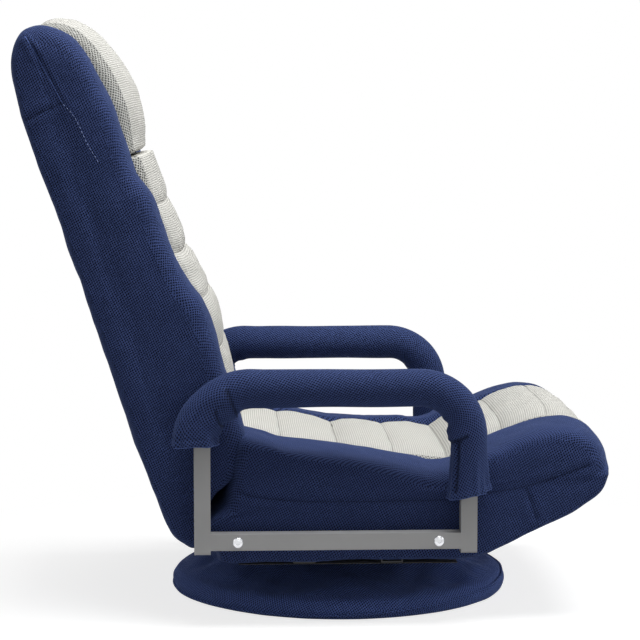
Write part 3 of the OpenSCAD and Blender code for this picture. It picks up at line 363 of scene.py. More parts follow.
def spacer_mesh(name, strand, hole, fuzz, net, depth, sheen, tint, drift, shade, rib=None, band=None):
    """Open knitted cloth: pale strands round dark holes, with yarn speckle and a slow drift of the rows. Along each
    seam mark a dark line and a soft shade beside it are painted shade of the seam's groove. A ribbed cloth has fine
    ribs in place of the holes, and its upright sides are of an open band with holes. Plain cloth also shows pale
    threads, and painted shade along the edges of laps."""
    f = Finish(name, Roughness=0.82, Specular_IOR_Level=0.08, Sheen_Weight=sheen, Sheen_Roughness=0.35,
               Sheen_Tint=(*tint, 1))
    where, u, v = f.cloth()
    u = u + (f.noise(where, 14.0) - 0.5) * drift
    v = v + (f.noise(where, 23.0) - 0.5) * drift
    fine, fibre = f.noise(where, 1600.0, 1.0), f.noise(where, 420.0)
    yarn_speckle = (fibre * 0.65 + fine * 0.45).between(0.3, 0.8)
    yarn = f.mix(yarn_speckle, strand, fuzz)
    if rib:
        groove, dots = v.wave(rib).between(0.35, 1.0), u.wave(0.0024)
        side = f.mark("band").between(-0.0006, 0.0012)
        open_ = holes(u, v, *net).between(-0.05, 0.5)
        ribs = f.mix(groove * (0.50 + dots * 0.15), yarn, hole)
        colour = f.mix(side, ribs, f.mix(open_, f.mix(yarn_speckle, *band[:2]), band[2]))
        height = ((1 - groove) * 1.2 + dots * 0.3 + fine * 0.25) * (1 - side) + (1 - open_) * side * 1.6
    else:
        open_ = holes(u, v, *net).between(-0.08, 0.45)
        colour = f.mix(open_, yarn, hole)
        height = (1 - open_) + fine * 0.25
    # painted shade: a dark line in each seam's groove and a soft shade beside it
    seam = abs(f.mark("seam"))
    line, beside = 1 - seam.between(0.0003, 0.0014), 1 - seam.between(0.0005, 0.0060)
    colour = f.mix(line * 0.30 + beside * shade, colour, times(hole, 0.35))
    colour = f.mix((f.noise(where, 5.0, 3.0) - 0.4).clamped() * 0.5, colour, times(strand, 0.75))
    if not rib:
        thread = 1 - abs(f.mark("thread")).between(0.0004, 0.0010)
        colour = f.mix(thread * 0.55, colour, times(fuzz, 2.2))
        height = height + thread
        # painted shade along the edge of each lap, where cloth lies over cloth
        lap = 1 - abs(f.mark("lap")).between(0.0006, 0.0050)
        colour = f.mix(lap * 0.62, colour, times(hole, 0.6))
    f.set(Base_Color=colour, Normal=f.bump(height, 0.6, depth))
    return f.material


NAVY_STRAND, NAVY_HOLE, NAVY_FUZZ = (0.0262, 0.0430, 0.130), (0.0024, 0.0036, 0.0110), (0.057, 0.087, 0.225)
NAVY = {"net": (0.0041, 0.0050), "depth": 0.0009, "sheen": 0.14, "tint": (0.35, 0.5, 1.0), "drift": 0.0072,
        "shade": 0.11}
BASE_PAINTED_LIGHT = 2.5  # painted light: the base lies in the seat's shade, so its cloth is made 2.5 times paler to look no darker than the seat's
navy = spacer_mesh("navy_mesh", NAVY_STRAND, NAVY_HOLE, NAVY_FUZZ, **NAVY)
# painted light: a paler copy of the navy cloth for the base cover
navy_base_painted_light = spacer_mesh("navy_base_mesh", times(NAVY_STRAND, BASE_PAINTED_LIGHT), NAVY_HOLE, times(NAVY_FUZZ, BASE_PAINTED_LIGHT),
                        **NAVY)
cream = spacer_mesh(
    "cream_mesh", (0.545, 0.54, 0.505), (0.29, 0.285, 0.26), (0.62, 0.615, 0.58), (0.0043, 0.0053), 0.0006, sheen=0.04,
    tint=(1, 1, 1), drift=0.0012, shade=0.06, rib=0.0031,
    band=((0.43, 0.43, 0.40), (0.55, 0.55, 0.52), (0.085, 0.086, 0.076)))

# ---- cushions

CORNER_PULL, WALL_SWELL, TROUGH_BANK = 26, 2.0, 13  # of both cushions, in millimetres


def cushion(name, body, node, outlines, half, inner, heart, rear_share, turn_in, place, wall_seams, light_seams, seed):
    """A stuffed closed form from four lines: the top and the underside of its bolsters and of the trough between
    them. Each section across it is one closed outline, drawn in towards the middle line by an amount that grows to
    its sides; between the bolsters the outline sinks to the trough. The side walls run from the last outline to the
    middle line, swelling as a half sine. Seams are grooves, and the cloth beside them puffs."""
    front, rear, trough, trough_rear = outlines
    m, per_span = len(front), 9
    rim = smooth(np.vstack([front, rear[::-1]]), per_span, True)
    mid = smooth(np.vstack([trough, trough_rear[::-1]]), per_span, True)
    at = np.arange(len(rim)) / per_span
    along = np.where(at < m - 1, at / (m - 1), np.where(at < m, 1.0, np.clip(1 - (at - m) / (m - 1), 0, 1)))
    part = np.interp(at, [0, m - 1, m, 2 * m - 1, 2 * m], [1, 1, rear_share, rear_share, 1])
    spine = heart[0] + (heart[1] - heart[0]) * along[:, None]
    inward = spine - rim
    reach = np.linalg.norm(inward, axis=1)
    side = np.sort(np.unique(np.concatenate([np.linspace(0, inner, 9), np.linspace(inner, 0.93, 22),
                                             1 - np.linspace(0.07, 0, 14) ** 1.3 / 0.07 ** 0.3])))
    s = np.concatenate([-side[::-1], side[1:]])
    draw = np.interp(abs(s), *turn_in) * CORNER_PULL
    band = rim + inward * np.clip(draw[:, None] * part / reach, 0, 0.8)[..., None]
    sunk = 1 - step(inner * half, inner * half + TROUGH_BANK, abs(s) * half)[:, None, None]
    band = band * (1 - sunk) + mid * sunk
    r = np.linspace(0, 1, 30)[1:]
    wall = band[0] + (spine - band[0]) * r[:, None, None]
    puffed = half + WALL_SWELL * np.sin(np.pi * np.clip(r * 1.15, 0, 1))
    flat = np.concatenate([wall[::-1], band, wall])
    x = np.concatenate([-puffed[::-1], s * half, puffed])
    walls, middle = len(r), len(r) + len(s) // 2
    grid = place(x[:, None], flat)
    face = outward(grid)
    if ((grid[middle] - grid.mean((0, 1))) * face[middle]).sum() < 0:
        face = -face
    gap, light = np.full((2, *grid.shape[:2]), NONE_NEAR)
    on_wall = np.zeros((len(x), 1), bool)
    on_wall[:walls + 3] = on_wall[-walls - 3:] = True
    for seam in wall_seams:
        d = line_gap(flat, smooth(seam, 6))
        gap = np.where(on_wall & (abs(d) < abs(gap)), d, gap)
    for seam in light_seams:
        d = line_gap(flat, smooth(seam, 6))
        light = np.where(on_wall & (abs(d) < abs(light)), d, light)
        gap = np.where(on_wall & (abs(d) < abs(gap)) & (abs(d) > 1.5), d * 1.6, gap)
    puff = 1.1 * bell(abs(gap) - 9, 7) - 1.6 * bell(gap, 2.6)
    folds = ripple(grid, 75.0, seed) * 0.9 + ripple(grid, 26.0, seed + 1) * 0.28
    calm = np.interp(np.arange(len(x)), [0, 6, len(x) - 7, len(x) - 1], [0, 1, 1, 0])[:, None]
    grid = grid + face * ((puff + folds) * calm)[..., None]
    weave = stacked(row_run(grid)[:, None], lengths(np.vstack([rim, rim[:1]]))) * MM
    obj = piece(name, grid, navy, weave=weave, marks={"seam": gap * MM, "thread": light * MM},
                wall_rows=[*range(walls), *range(len(x) - walls - 1, len(x))])
    return wear(obj, body, "navy_mesh", node, fill=0.75)


def shares(table, wide, high, low=0.0):
    """Shares of a width and a height as millimetres."""
    t = np.asarray(table, float)
    return np.stack([t[:, 0] * wide, t[:, 1] * high + low], -1)


TURN_IN = ([0, 0.58, 0.62, 0.68, 0.74, 0.8, 0.86, 0.91, 0.95, 0.975, 0.99, 1.0],
    [0.5, 0.5, 0.28, 0.11, 0.02, 0.0, 0.02, 0.08, 0.22, 0.42, 0.65, 1.0])
SEAT_TURN_IN = ([0, 0.575, 0.6, 0.64, 0.7, 0.78, 0.85, 0.91, 0.95, 0.975, 0.99, 1.0],
    [0.5, 0.42, 0.14, 0.0, 0.03, 0.09, 0.17, 0.27, 0.4, 0.54, 0.7, 1.0])

BACK_UNIT, SEAT_UNIT, SEAT_BASE = (150, 735), (360, 190), 82  # what the shares in the tables are shares of


def at_heights(table, heights):
    """A back outline (out, along, as shares) read at the given heights."""
    t = np.asarray(table, float)
    return np.stack([np.interp(heights, t[:, 1], t[:, 0]), heights], -1) * BACK_UNIT


# The outlines were measured in the photograph, the back's square to and along its lean, the seat's forward and up.
HEIGHTS = [0.061, 0.09, 0.126, 0.18, 0.27, 0.352, 0.41, 0.453, 0.508, 0.57, 0.631, 0.68, 0.735, 0.8, 0.86, 0.91, 0.955,
    0.984]
BOLSTER = np.stack([[0.14, 0.447, 0.567, 0.607, 0.6, 0.621, 0.612, 0.545, 0.497, 0.482, 0.478, 0.4, 0.395, 0.397, 0.36,
    0.308, 0.218, 0.04], HEIGHTS], -1) * BACK_UNIT
REAR = at_heights([[-0.12, -0.017], [-0.265, -0.004], [-0.345, 0.036], [-0.372, 0.133], [-0.4, 0.234], [-0.388, 0.35],
    [-0.39, 0.476], [-0.395, 0.593], [-0.402, 0.706], [-0.412, 0.8], [-0.402, 0.87], [-0.37, 0.922], [-0.3, 0.958],
    [-0.19, 0.982], [-0.08, 0.992]], [-0.017, -0.004, 0.036, 0.1, 0.2, 0.33, 0.4, 0.453, 0.508, 0.57, 0.631, 0.69, 0.75,
    0.81, 0.87, 0.922, 0.962, 0.985])
TROUGH = at_heights([[0.1, 0.061], [0.3, 0.09], [0.39, 0.126], [0.42, 0.18], [0.42, 0.27], [0.43, 0.374], [0.34, 0.471],
    [0.26, 0.593], [0.23, 0.706], [0.24, 0.803], [0.19, 0.884], [0.08, 0.945], [-0.03, 0.968]], HEIGHTS)
CREST = shares([[0.52, 0.1], [0.61, 0.2], [0.655, 0.29], [0.69, 0.37], [0.665, 0.42], [0.628, 0.46], [0.585, 0.545],
    [0.556, 0.64], [0.545, 0.707]], *BACK_UNIT)
CREST_FLOOR = shares([[0.39, 0.1], [0.425, 0.2], [0.42, 0.29], [0.435, 0.365], [0.4, 0.42], [0.345, 0.466],
    [0.28, 0.559], [0.24, 0.636], [0.23, 0.707]], *BACK_UNIT)
HEAD = shares([[0.475, 0.7085], [0.555, 0.765], [0.58, 0.81], [0.568, 0.85], [0.52, 0.892], [0.43, 0.94], [0.3, 0.977],
    [0.13, 0.996], [-0.03, 1.003], [-0.12, 0.998]], *BACK_UNIT)
HEAD_FLOOR = shares([[0.235, 0.7085], [0.245, 0.765], [0.24, 0.81], [0.225, 0.85], [0.18, 0.892], [0.11, 0.932],
    [0.045, 0.952], [-0.01, 0.962], [-0.05, 0.968], [-0.1, 0.982]], *BACK_UNIT)
SEAT_TOP = np.array([[-175, 167], [-169, 186], [-164, 207], [-160, 236], [-150, 259], [-122, 255.5], [-94, 246],
    [-56, 240.5], [-8, 235], [46, 226], [96, 216], [116, 211.5], [146, 216], [178, 235], [215, 251], [262, 267],
    [303, 272], [336, 260], [354, 240], [362, 220]], float)
SEAT_UNDER = shares([[-0.564, 0.258], [-0.5736, 0.22], [-0.572, 0.18], [-0.556, 0.142], [-0.522, 0.121],
    [-0.5056, 0.074], [-0.49, 0.01], [-0.4, 0], [-0.139, 0], [0.1, 0], [0.28, 0], [0.417, 0], [0.519, 0.032],
    [0.565, 0.07], [0.611, 0.11], [0.68, 0.176], [0.76, 0.248], [0.873, 0.358], [0.968, 0.489], [1.004, 0.637]],
    *SEAT_UNIT, SEAT_BASE)
SEAT_TROUGH = np.array([[-175, 167], [-167, 184], [-158, 200], [-146, 208], [-130, 210], [-105, 207], [-80, 203],
    [-45, 196], [0, 188], [50, 184.6], [85, 184.6], [112, 184.6], [145, 188], [178, 194], [215, 204], [262, 222],
    [295, 232], [320, 229], [338, 211], [343, 184.6]], float)
SEAT_TROUGH_UNDER = np.vstack([SEAT_UNDER[:15], shares([[0.675, 0.172], [0.75, 0.24], [0.85, 0.345], [0.93, 0.44],
    [0.952, 0.51]], *SEAT_UNIT, SEAT_BASE)])
SEAT_CREST = np.array([[-156, 244], [-142, 252], [-100, 248], [-72, 244], [-40, 238], [-8, 233], [24, 231], [60, 229],
    [95, 224.5], [125, 220], [144, 223], [172, 238], [210, 258], [252, 275], [289, 282], [319, 275], [344, 254],
    [363, 232], [371, 204]], float)
SEAT_FLOOR = np.array([[-152, 214], [-132, 213], [-96, 208], [-68, 204], [-40, 200], [-8, 193], [24, 189], [60, 187],
    [95, 186], [125, 187], [144, 189], [172, 193], [210, 203], [250, 219], [285, 233], [308, 236], [328, 228],
    [341, 212], [346, 190]], float)


def on_seat(x, flat):
    """The soft top of the left bolster lies lower in the middle and higher before the knees than the right one."""
    u, z = flat[..., 0], flat[..., 1]
    settled = np.interp(u, [-120, -85, -60, -5, 50, 110, 160, 215], [0, -5, -7, -11, -4, 11, 4, 0])
    return put(x, u, z + settled * step(108, 160, np.asarray(x, float)) * step(188, 214, z))


def on_back(x, flat):
    """Points of the back from across and (out, along)."""
    p = from_back(flat[..., 0], flat[..., 1])
    return put(x, p[..., 0], p[..., 1])


SEAT_SIDE_SEAM = np.array([[-172, 191], [-150, 182], [-121, 175], [-66, 169.5], [0, 168.5], [70, 169], [138, 170.5],
    [197, 180], [247, 189], [288, 202], [326, 216]], float)
SEAT_CORNER_SEAM = np.array([[241.6, 187], [250, 163], [256, 143]], float)
BACK_SIDE_SEAM = np.array([[-26, 727], [-20.9, 716], [-12.3, 676], [-1.9, 615.7]], float)
BACK_CROSS_SEAM = np.array([[-1.9, 615.7], [-31, 612.7], [-56, 609.6]], float)
BACK_STITCH_LINE = np.array([[-1.9, 615.7], [8, 591.7], [13, 552], [20, 522]], float)

cushion("seat_cover", "seat", "seat_cushion", (SEAT_TOP, SEAT_UNDER, SEAT_TROUGH, SEAT_TROUGH_UNDER), 258, 0.575,
        np.array([[-150, 150], [325, 195]]), 0.35, SEAT_TURN_IN, on_seat, [SEAT_SIDE_SEAM, SEAT_CORNER_SEAM], [], 3)
back_cover = cushion("back_cover", "back", "back_cushion", (BOLSTER, REAR, TROUGH, REAR), 248, 0.60,
                     np.array([[-12, 22], [-14, 690]]), 0.5, TURN_IN, on_back, [BACK_CROSS_SEAM], [BACK_SIDE_SEAM], 7)

# ---- channel panels

PANEL_HALF, BAND = 149.4, 0.93  # half width, and where the open band begins as a share of it


def channel_panel(name, body, node, top, floor, place, seams, depth, fill, seed, count=170, ends=(9, 9), bulge=0.0,
                  box=7.0, band=([0, 1], [BAND, BAND])):
    """A light panel: its height across is (1 - |s|^box)^0.3 of the crest's, its ends are rounded, and between two
    seams, given as shares of the length, the cloth rises as 1 - |2t - 1|^3. Each seam is pulled in by its depth and
    the cloth near its ends is puckered. The upright sides are of the open band mesh."""
    high, low = smooth(top, 40), smooth(floor, 40)
    run = lengths(high)
    marks = np.array([0.0, *seams, 1.0])
    close, end = np.array([-0.008, -0.004, 0, 0.004, 0.008]), np.array([0.003, 0.007, 0.013])
    want = np.unique(np.concatenate([np.linspace(0, 1, count + 1), *(m + close for m in seams), end,
                                     1 - end]).clip(0, 1))
    at = np.interp(want * run[-1], run, np.arange(len(run)))
    high, low = (np.stack([np.interp(at, np.arange(len(line)), c) for c in line.T], 1) for line in (high, low))
    s = 1 - (1 - np.linspace(0, 1, 40)) ** 2.5
    s = np.concatenate([-s[::-1], s[1:]])
    crown = (1 - abs(s) ** box) ** 0.3 * (1 - 0.07 * s ** 2)
    crown[[0, -1]] = 0
    far = lengths(high)
    shape = 1.0
    for left, rounding in zip((far, far[-1] - far), ends):
        shape = shape * np.clip(1 - (1 - np.clip(left / rounding, 0, 1)) ** 2.2, 0, 1) ** 0.5
    shape[[0, -1]] = 0
    k = np.clip(np.searchsorted(marks, want, side="right") - 1, 0, len(marks) - 2)
    t = (want - marks[k]) / (marks[k + 1] - marks[k])
    deep = np.array([0.0, *depth, 0.0])
    fall = np.where(t < 0.5, deep[k], deep[k + 1]) * abs(2 * t - 1) ** 3
    rise = high - low
    unit = rise / np.maximum(np.linalg.norm(rise, axis=1, keepdims=True), 1e-6)
    s = s[:, None]
    w = crown[:, None] * shape
    swell = bulge * (1 - s ** 2) * shape
    flat = low + rise * w[..., None] + unit * (swell - fall * np.minimum(w * 1.1, 1))[..., None]
    gap = abs(want[:, None] - [*seams, 9.0]).min(1) * run[-1]
    near_seam = bell(gap, 11.0)
    wide = s * PANEL_HALF * (1 - 0.010 * near_seam * (abs(s) > 0.85))
    grid = place(wide, flat)
    face = outward(grid, around=False)
    mid = len(want) // 2
    if (face[len(s) // 2, mid] * (place(0.0, high[mid]) - place(0.0, low[mid]))).sum() < 0:
        face = -face
    pucker = ripple(grid * [1, 0.25, 0.25], 13.0, seed) * near_seam * 0.6 * (0.35 + abs(s))
    soft = ripple(grid, 58.0, seed + 1) * 0.75 + ripple(grid, 21.0, seed + 2) * 0.25
    edge = abs(s) - BAND
    ridge = 0.9 * bell(edge * PANEL_HALF, 1.8) - 0.5 * bell((edge - 0.02) * PANEL_HALF, 1.3)
    grid = grid + face * ((pucker + soft + ridge) * np.minimum(w * 1.5, 1))[..., None]
    under = place(s * PANEL_HALF, (low - unit * 0.6)[None])
    under[[0, -1]] = grid[[0, -1]]
    under[:, [0, -1]] = grid[:, [0, -1]]
    weave = stacked(row_run(grid)[:, None], lengths(high)) * MM
    both, weave, across = (np.concatenate([rows, back[::-1][1:]]) for rows, back in
                           ((grid, under), (weave, weave), (abs(s), abs(s))))
    to_band = (across - np.interp(want, *band)) * PANEL_HALF
    obj = piece(name, both, cream, around=False, weave=weave,
                marks={"seam": np.minimum(gap, NONE_NEAR) * MM, "band": to_band * MM})
    wear(obj, body, "cream_mesh", node, fill=fill)


def spread(top, points, column):
    """Shares of a crest's length at which one of its coordinates reaches the given values, in order."""
    line = smooth(top, 40)
    run = lengths(line) / lengths(line)[-1]
    return [float(np.interp(p, line[:, column], run)) for p in points]


RISING = 15  # rows of the seat's crest up to its highest; the last seam lies past it
to_top = lengths(smooth(SEAT_CREST[:RISING], 40))[-1] / lengths(smooth(SEAT_CREST, 40))[-1]
seat_seams = [share * to_top for share in spread(SEAT_CREST[:RISING], [-90, -8, 70, 145, 223, 288], 0)] + [0.905]
channel_panel("seat_channels", "seat", "seat_panel", SEAT_CREST, SEAT_FLOOR, on_seat, seat_seams,
              [4.5, 7, 5, 8, 4.5, 3, 4], 0.8, 11, count=200)
channel_panel("back_channels", "back", "back_panel", CREST, CREST_FLOOR, on_back,
              spread(CREST, [151, 228, 303, 369, 445], 1), [4.5, 4.5, 4.0, 8.5, 5.0], 0.8, 21, ends=(9, 6),
              band=([0.0, 0.72, 0.84, 1.0], [0.985, 0.985, 0.95, BAND]))
channel_panel("headrest_pillow", "back", "headrest_pad", HEAD, HEAD_FLOOR, on_back, [], [], 0.9, 31, count=120,
              ends=(6, 46), bulge=1.5, box=8.0)

# ---- arm sleeves

ARM_X, ARM_REAR, ARM_FRONT, ARM_TOP, ARM_BEND = 280.0, -198.6, 160.4, 326.8, 67.0
REAR_HEM, FRONT_HEM = 250.5, 181.0
LINING_ROWS = 38


def arm_path():
    """Up the rear post, round a quarter circle, along the top, round another and down the front post."""
    a = np.radians(np.linspace(180, 90, 40))
    across, up = ARM_BEND * np.cos(a), ARM_TOP - ARM_BEND + ARM_BEND * np.sin(a)
    rear = np.stack([ARM_REAR + ARM_BEND + across, up], 1)
    front = np.stack([ARM_FRONT - ARM_BEND - across, up], 1)[::-1]
    return even(np.vstack([[[ARM_REAR, REAR_HEM]], rear, front, [[ARM_FRONT, FRONT_HEM]]]), 330)


def arm_sleeve(side, word):
    """A padded tube along the arm: its section's half depth and half widths follow tables along the path. The cuffs
    are gathered by waves round them that die out up the sleeve, and the inner side of each bend is tucked. Laps are
    steps square or aslant to the path, where cloth lies over cloth, and their edges are marked for painted shade."""
    line = arm_path()
    length = lengths(line)
    total = length[-1]
    way = np.gradient(line, axis=0)
    way /= np.linalg.norm(way, axis=1, keepdims=True)
    norm = np.stack([-way[:, 1], way[:, 0]], 1)
    knots = [0, 12, 45, 80, 130, 200, 300, total - 210, total - 130, total - 90, total - 50, total - 18, total]
    deep, inner, outer = (np.interp(length, knots, table)[:, None] for table in (
        [31, 30.5, 29.5, 28, 26, 25.6, 25.6, 25.6, 25.8, 25, 24.5, 26, 28.5],
        [16.3, 16.3, 17.5, 19.5, 23, 25.4, 25.6, 25.6, 24, 20, 17, 16.2, 16.2],
        [28, 27.5, 26.5, 26, 25.6, 25.6, 25.6, 25.6, 25.6, 26, 26.5, 27, 28]))
    n = 96
    a = circle(n)
    sine, cosine = np.sin(a), np.cos(a)
    run = length[:, None]
    hem = np.minimum(run, total - run)
    seed = 41 if side < 0 else 47
    turn = stacked(cosine * 30, sine * 30, run * 0.10)
    pleat = ripple(turn, 17.0, seed) * 2.1 * np.exp(-(hem / 30.0) ** 1.5)
    ring = stacked(cosine * 9, sine * 9, run)
    bends = bell(run - 70, 45) * 1.9 + bell(run - (total - 112), 34) * 2.6
    tuck = ripple(ring, 22.0, seed + 3) * bends * step(0.1, 0.9, -cosine)
    lump = 3.2 * bell(run - (total - 96), 13) * step(0.55, 1.0, -cosine)
    soft = ripple(ring * [1, 1, 0.5], 44.0, seed + 5) * 0.5
    band = 0.5 * (hem < 9) * bell(hem - 4.5, 4.2) - 0.5 * bell(hem - 10.5, 1.3)
    # the cloth of the rear bend laps over the level part, a second lap crosses that bend and a third the front one:
    # place, slant, height, ramp, edge, and where round the tube each begins, is full and is drawn as a line of painted
    # shade
    fold, crease = 0.0, np.full((len(line), n), NONE_NEAR)
    for begin, slant, high, ramp, edge, low_face, full_face, drawn in (
            (81, 4, 4.2, -36, 2.2, -0.8, 0.1, -0.441), (58, 26, 3.4, -26, 2.0, 0.0, 0.6, 0.12),
            (total - 88, -14, 3.6, -24, 2.2, 0.0, 0.7, 0.12)):
        at = run - begin - slant * cosine
        crease = np.where((-cosine > drawn) & (abs(at - 1.8) < abs(crease)), at - 1.8, crease)
        fold = fold + high * step(ramp, -2, at) * (1 - step(-0.8, edge, at)) * step(low_face, full_face, -cosine)
    # the front leg has a long upright fold behind its outer face, with painted shade along it
    on_leg = step(total - 84, total - 64, run) * (1 - step(total - 14, total - 4, run))
    bent = a - 2.33 - 0.0016 * (run - total + 40)
    crease = np.where((on_leg > 0.3) & (abs(bent * 27) < abs(crease)), bent * 27, crease)
    fold = fold + on_leg * (1.8 * bell(bent - 0.24, 0.16) - 3.2 * bell(bent, 0.10))
    drape = ripple(stacked(cosine * 30, sine * 30, run * 0.05), 24.0, seed + 11) * 1.5 * bell(hem - 34, 26)
    puff = pleat + tuck + lump + soft + band + fold + drape
    tall = deep * cosine + puff * cosine + 8 * bell(run, 42)
    wide = np.where(sine < 0, inner, outer) * sine + puff * sine * np.where(sine < 0, 0.35, 1)
    wide = np.maximum(wide, -(inner + 0.4))
    rear_half = run < total / 2
    sag = ripple(turn * [0.4, 0.4, 0], 21.0, seed + 7) * 3.0 * bell(hem, 7.0) * np.where(rear_half, -1, 1)
    tilt = np.where(rear_half, -2.0, -5.0) * cosine * bell(hem, 25)
    slip = way[:, None] * (sag + tilt)[..., None]

    def shell(narrow, thin):
        flat = line[:, None] + norm[:, None] * (tall * thin)[..., None] + slip
        return put(side * (ARM_X + wide * narrow), flat[..., 0], flat[..., 1])

    outside, inside = shell(1, 1), shell(0.92, 0.93)[::-1]
    around = lambda first, middle, last: np.concatenate([first[-LINING_ROWS:], middle, last[:LINING_ROWS]])
    away = np.full((LINING_ROWS, n), NONE_NEAR)
    grid = around(inside, outside, inside)
    weave = stacked(np.linspace(0, 2 * math.pi, n + 1) * 0.026, around(run[::-1], run, run[::-1]) * MM)
    marks = {"lap": around(away, crease, away) * MM, "thread": around(away[:, :1], hem - 0.3, away[:, :1]) * MM}
    obj = piece(f"arm_sleeve_{word}", grid, navy, weave=weave, marks=marks, turn=side > 0, welded=False)
    wear(obj, "seat", "navy_mesh", f"arm_cover_{word}", fill=0.7)


for side, word in SIDES:
    arm_sleeve(side, word)

# ---- base cover

BASE_REACH, BASE_RISE = 244.5, 65.9
RIDGE = shares([[0.0, 0.985], [0.2, 0.985], [0.46, 0.985], [0.56, 0.955], [0.69, 0.8], [0.83, 0.62], [0.9, 0.51],
    [0.9325, 0.462], [0.965, 0.405], [0.986, 0.31], [1, 0.2], [0.985, 0.035], [0.96, 0.012]], BASE_REACH, BASE_RISE)
VALLEY = shares([[0.0, 0.98], [0.2, 0.98], [0.46, 0.975], [0.56, 0.8], [0.69, 0.6], [0.83, 0.49], [0.9, 0.465],
    [0.9325, 0.448], [0.965, 0.4], [0.986, 0.31], [1, 0.2], [0.985, 0.035], [0.96, 0.012]], BASE_REACH, BASE_RISE)
CLOTH_THICK, PIPING_RADIUS, PIPING_OUT, RIM_FROM = 0.0016, 1.9, 0.9, 226  # the first in metres


def base_cloth():
    """Round cover: its outline blends from a ridge line over each spoke to a sagging line between two, as a
    raised cosine of six times the angle, with soft folds that run outwards and die out at the rim. Returns the line
    of its edge seam as well."""
    turns = 432
    a = circle(turns)
    spot = np.stack([np.cos(a), np.sin(a)], -1)
    ridge, valley = smooth(RIDGE, 14), smooth(VALLEY, 14)
    w = (1 + np.cos(6 * (a + ripple(spot * 100, 120.0, 61) * 0.09))) / 2
    w = np.maximum(w ** 1.25, step(0.80, 0.96, np.cos(a - math.radians(104))))
    line = ridge[:, None] * w[:, None] + valley[:, None] * (1 - w)[:, None]
    r, z = line[..., 0], line[..., 1]
    away = step(108, 150, r) * (1 - step(215, 236, r))
    level = stacked(np.cos(a) * r, np.sin(a) * r, z * 0)
    folds = ripple(level, 46.0, 63) * 1.3 + ripple(level, 19.0, 64) * 0.35
    radial = ripple(stacked(np.cos(a) * 150, np.sin(a) * 150, r * 0.15), 34.0, 65) * 1.2
    swell = 1 + ripple(spot * 244, 60.0, 66) * 0.002 * step(225, 240, r)
    grid = np.stack([r * np.cos(a) * swell, r * np.sin(a) * swell, z + (folds + radial) * away], -1)
    level = np.concatenate([grid, grid[:, :1]], 1)[..., :2]
    round_rim = stacked(np.linspace(0, 2 * math.pi, turns + 1) * BASE_REACH, row_run(grid)[:, None])
    weave = np.where((r.mean(1) > RIM_FROM)[:, None, None], round_rim, level) * MM
    # the cover takes the base's paler navy, painted light
    obj = piece("base_cloth", grid, navy_base_painted_light, weave=weave, welded=False)
    weld(obj.data, 1e-5, None)
    wall = obj.modifiers.new("wall", "SOLIDIFY")
    wall.thickness, wall.offset = CLOTH_THICK, -1
    wear(obj, "base", "navy_mesh", "base_cover")
    # the cover's flat size is that of a disc of the same area as the sewn cloth
    cloth = float((np.linalg.norm(np.diff(grid, axis=0), axis=-1) * (r[1:] + r[:-1])).sum() * math.pi / turns) * MM * MM
    # the edge seam climbs from row 150 of the outline, under the rim at the right, by 33 rows to its top at the
    # front left
    rows = 150 - 33 * ((1 + np.cos(a + math.radians(62))) / 2) ** 1.6
    low, k = rows.astype(int), np.arange(turns)
    seam_line = grid[low, k] + (grid[low + 1, k] - grid[low, k]) * (rows - low)[:, None]
    face = outward(grid)[low, k]
    face *= np.sign((face * [1, 1, 0] * seam_line).sum(-1, keepdims=True))
    return seam_line + face * PIPING_OUT


# the piping takes the base's paler navy, painted light
wear(tube("base_piping", base_cloth(), PIPING_RADIUS, 10, navy_base_painted_light, closed=True), "base", "navy_mesh")

# ---- finishes of the frame


def powder_coat(name, colour, speck, gloss):
    """Satin coat: a fine orange-peel bump, a slow change of tone, and pale specks of dust."""
    f = Finish(name, Specular_IOR_Level=0.45, Coat_Roughness=0.35)
    where = f.where()
    peel, slow, dust = f.noise(where, 900.0), f.noise(where, 9.0, 3.0), f.noise(where, 260.0, 4.0, 0.65)
    tone = f.mix(slow.between(0.3, 0.75), colour, times(colour, 1.12))
    tone = f.mix(dust.between(0.62, 0.8) * 0.35, tone, speck)
    f.set(Base_Color=tone, Roughness=gloss + slow * 0.10 + dust * 0.06, Normal=f.bump(peel, 0.12, 0.0004))
    return f.material


def plated(name, colour, rough, streak=0.10):
    """Plated steel: rolling streaks along it, faint clouds and small pits."""
    f = Finish(name, Metallic=1.0)
    where = f.where()
    drawn = f.node("ShaderNodeMapping", {"vector_type": "POINT"}, where, None, None, (1.0, 14.0, 1.0))
    cloud, grain, pits = f.noise(where, 40.0, 3.0), f.noise(drawn, 160.0, 3.0), f.noise(where, 700.0)
    tone = f.mix(cloud.between(0.35, 0.7) * 0.6, colour, times(colour, 0.78))
    f.set(Base_Color=tone, Roughness=rough + grain * streak + cloud * 0.08,
          Normal=f.bump(pits + grain * 0.6, 0.08, 0.0003))
    return f.material


def webbing_weave(name, colour, pale):
    """Woven strap: two sets of ribs that cross."""
    f = Finish(name, Roughness=0.8, Sheen_Weight=0.2)
    where = f.where()
    x, y, z = f.parts(where)
    warp = ((x + y) * 2200.0).sin() * 0.5 + 0.5
    weft = ((x - y) * 1500.0 + z * 1800.0).sin() * 0.5 + 0.5
    height = warp * 0.6 + weft * 0.4 + f.noise(where, 900.0) * 0.3
    f.set(Base_Color=f.mix(height.between(0.3, 1.0), colour, pale), Normal=f.bump(height, 0.4, 0.0004))
    return f.material


def felted(name, colour, pale, cells, raised):
    """Bonded cloth or foam: short crossed fibres with small embossed dots or cells."""
    f = Finish(name, Roughness=0.9, Sheen_Weight=0.15)
    where = f.where()
    fibre, cloud = f.noise(where, 700.0, 4.0, 0.7), f.noise(where, 30.0)
    cell = f.node("ShaderNodeTexVoronoi", {"feature": "F1"}, Vector=where, Scale=cells)
    tone = f.mix(fibre.between(0.35, 0.75), colour, pale)
    tone = f.mix(cloud.between(0.4, 0.8) * 0.3, tone, colour)
    f.set(Base_Color=tone, Normal=f.bump(fibre + cell.between(0.1, 0.5) * raised, 0.45, 0.0006))
    return f.material


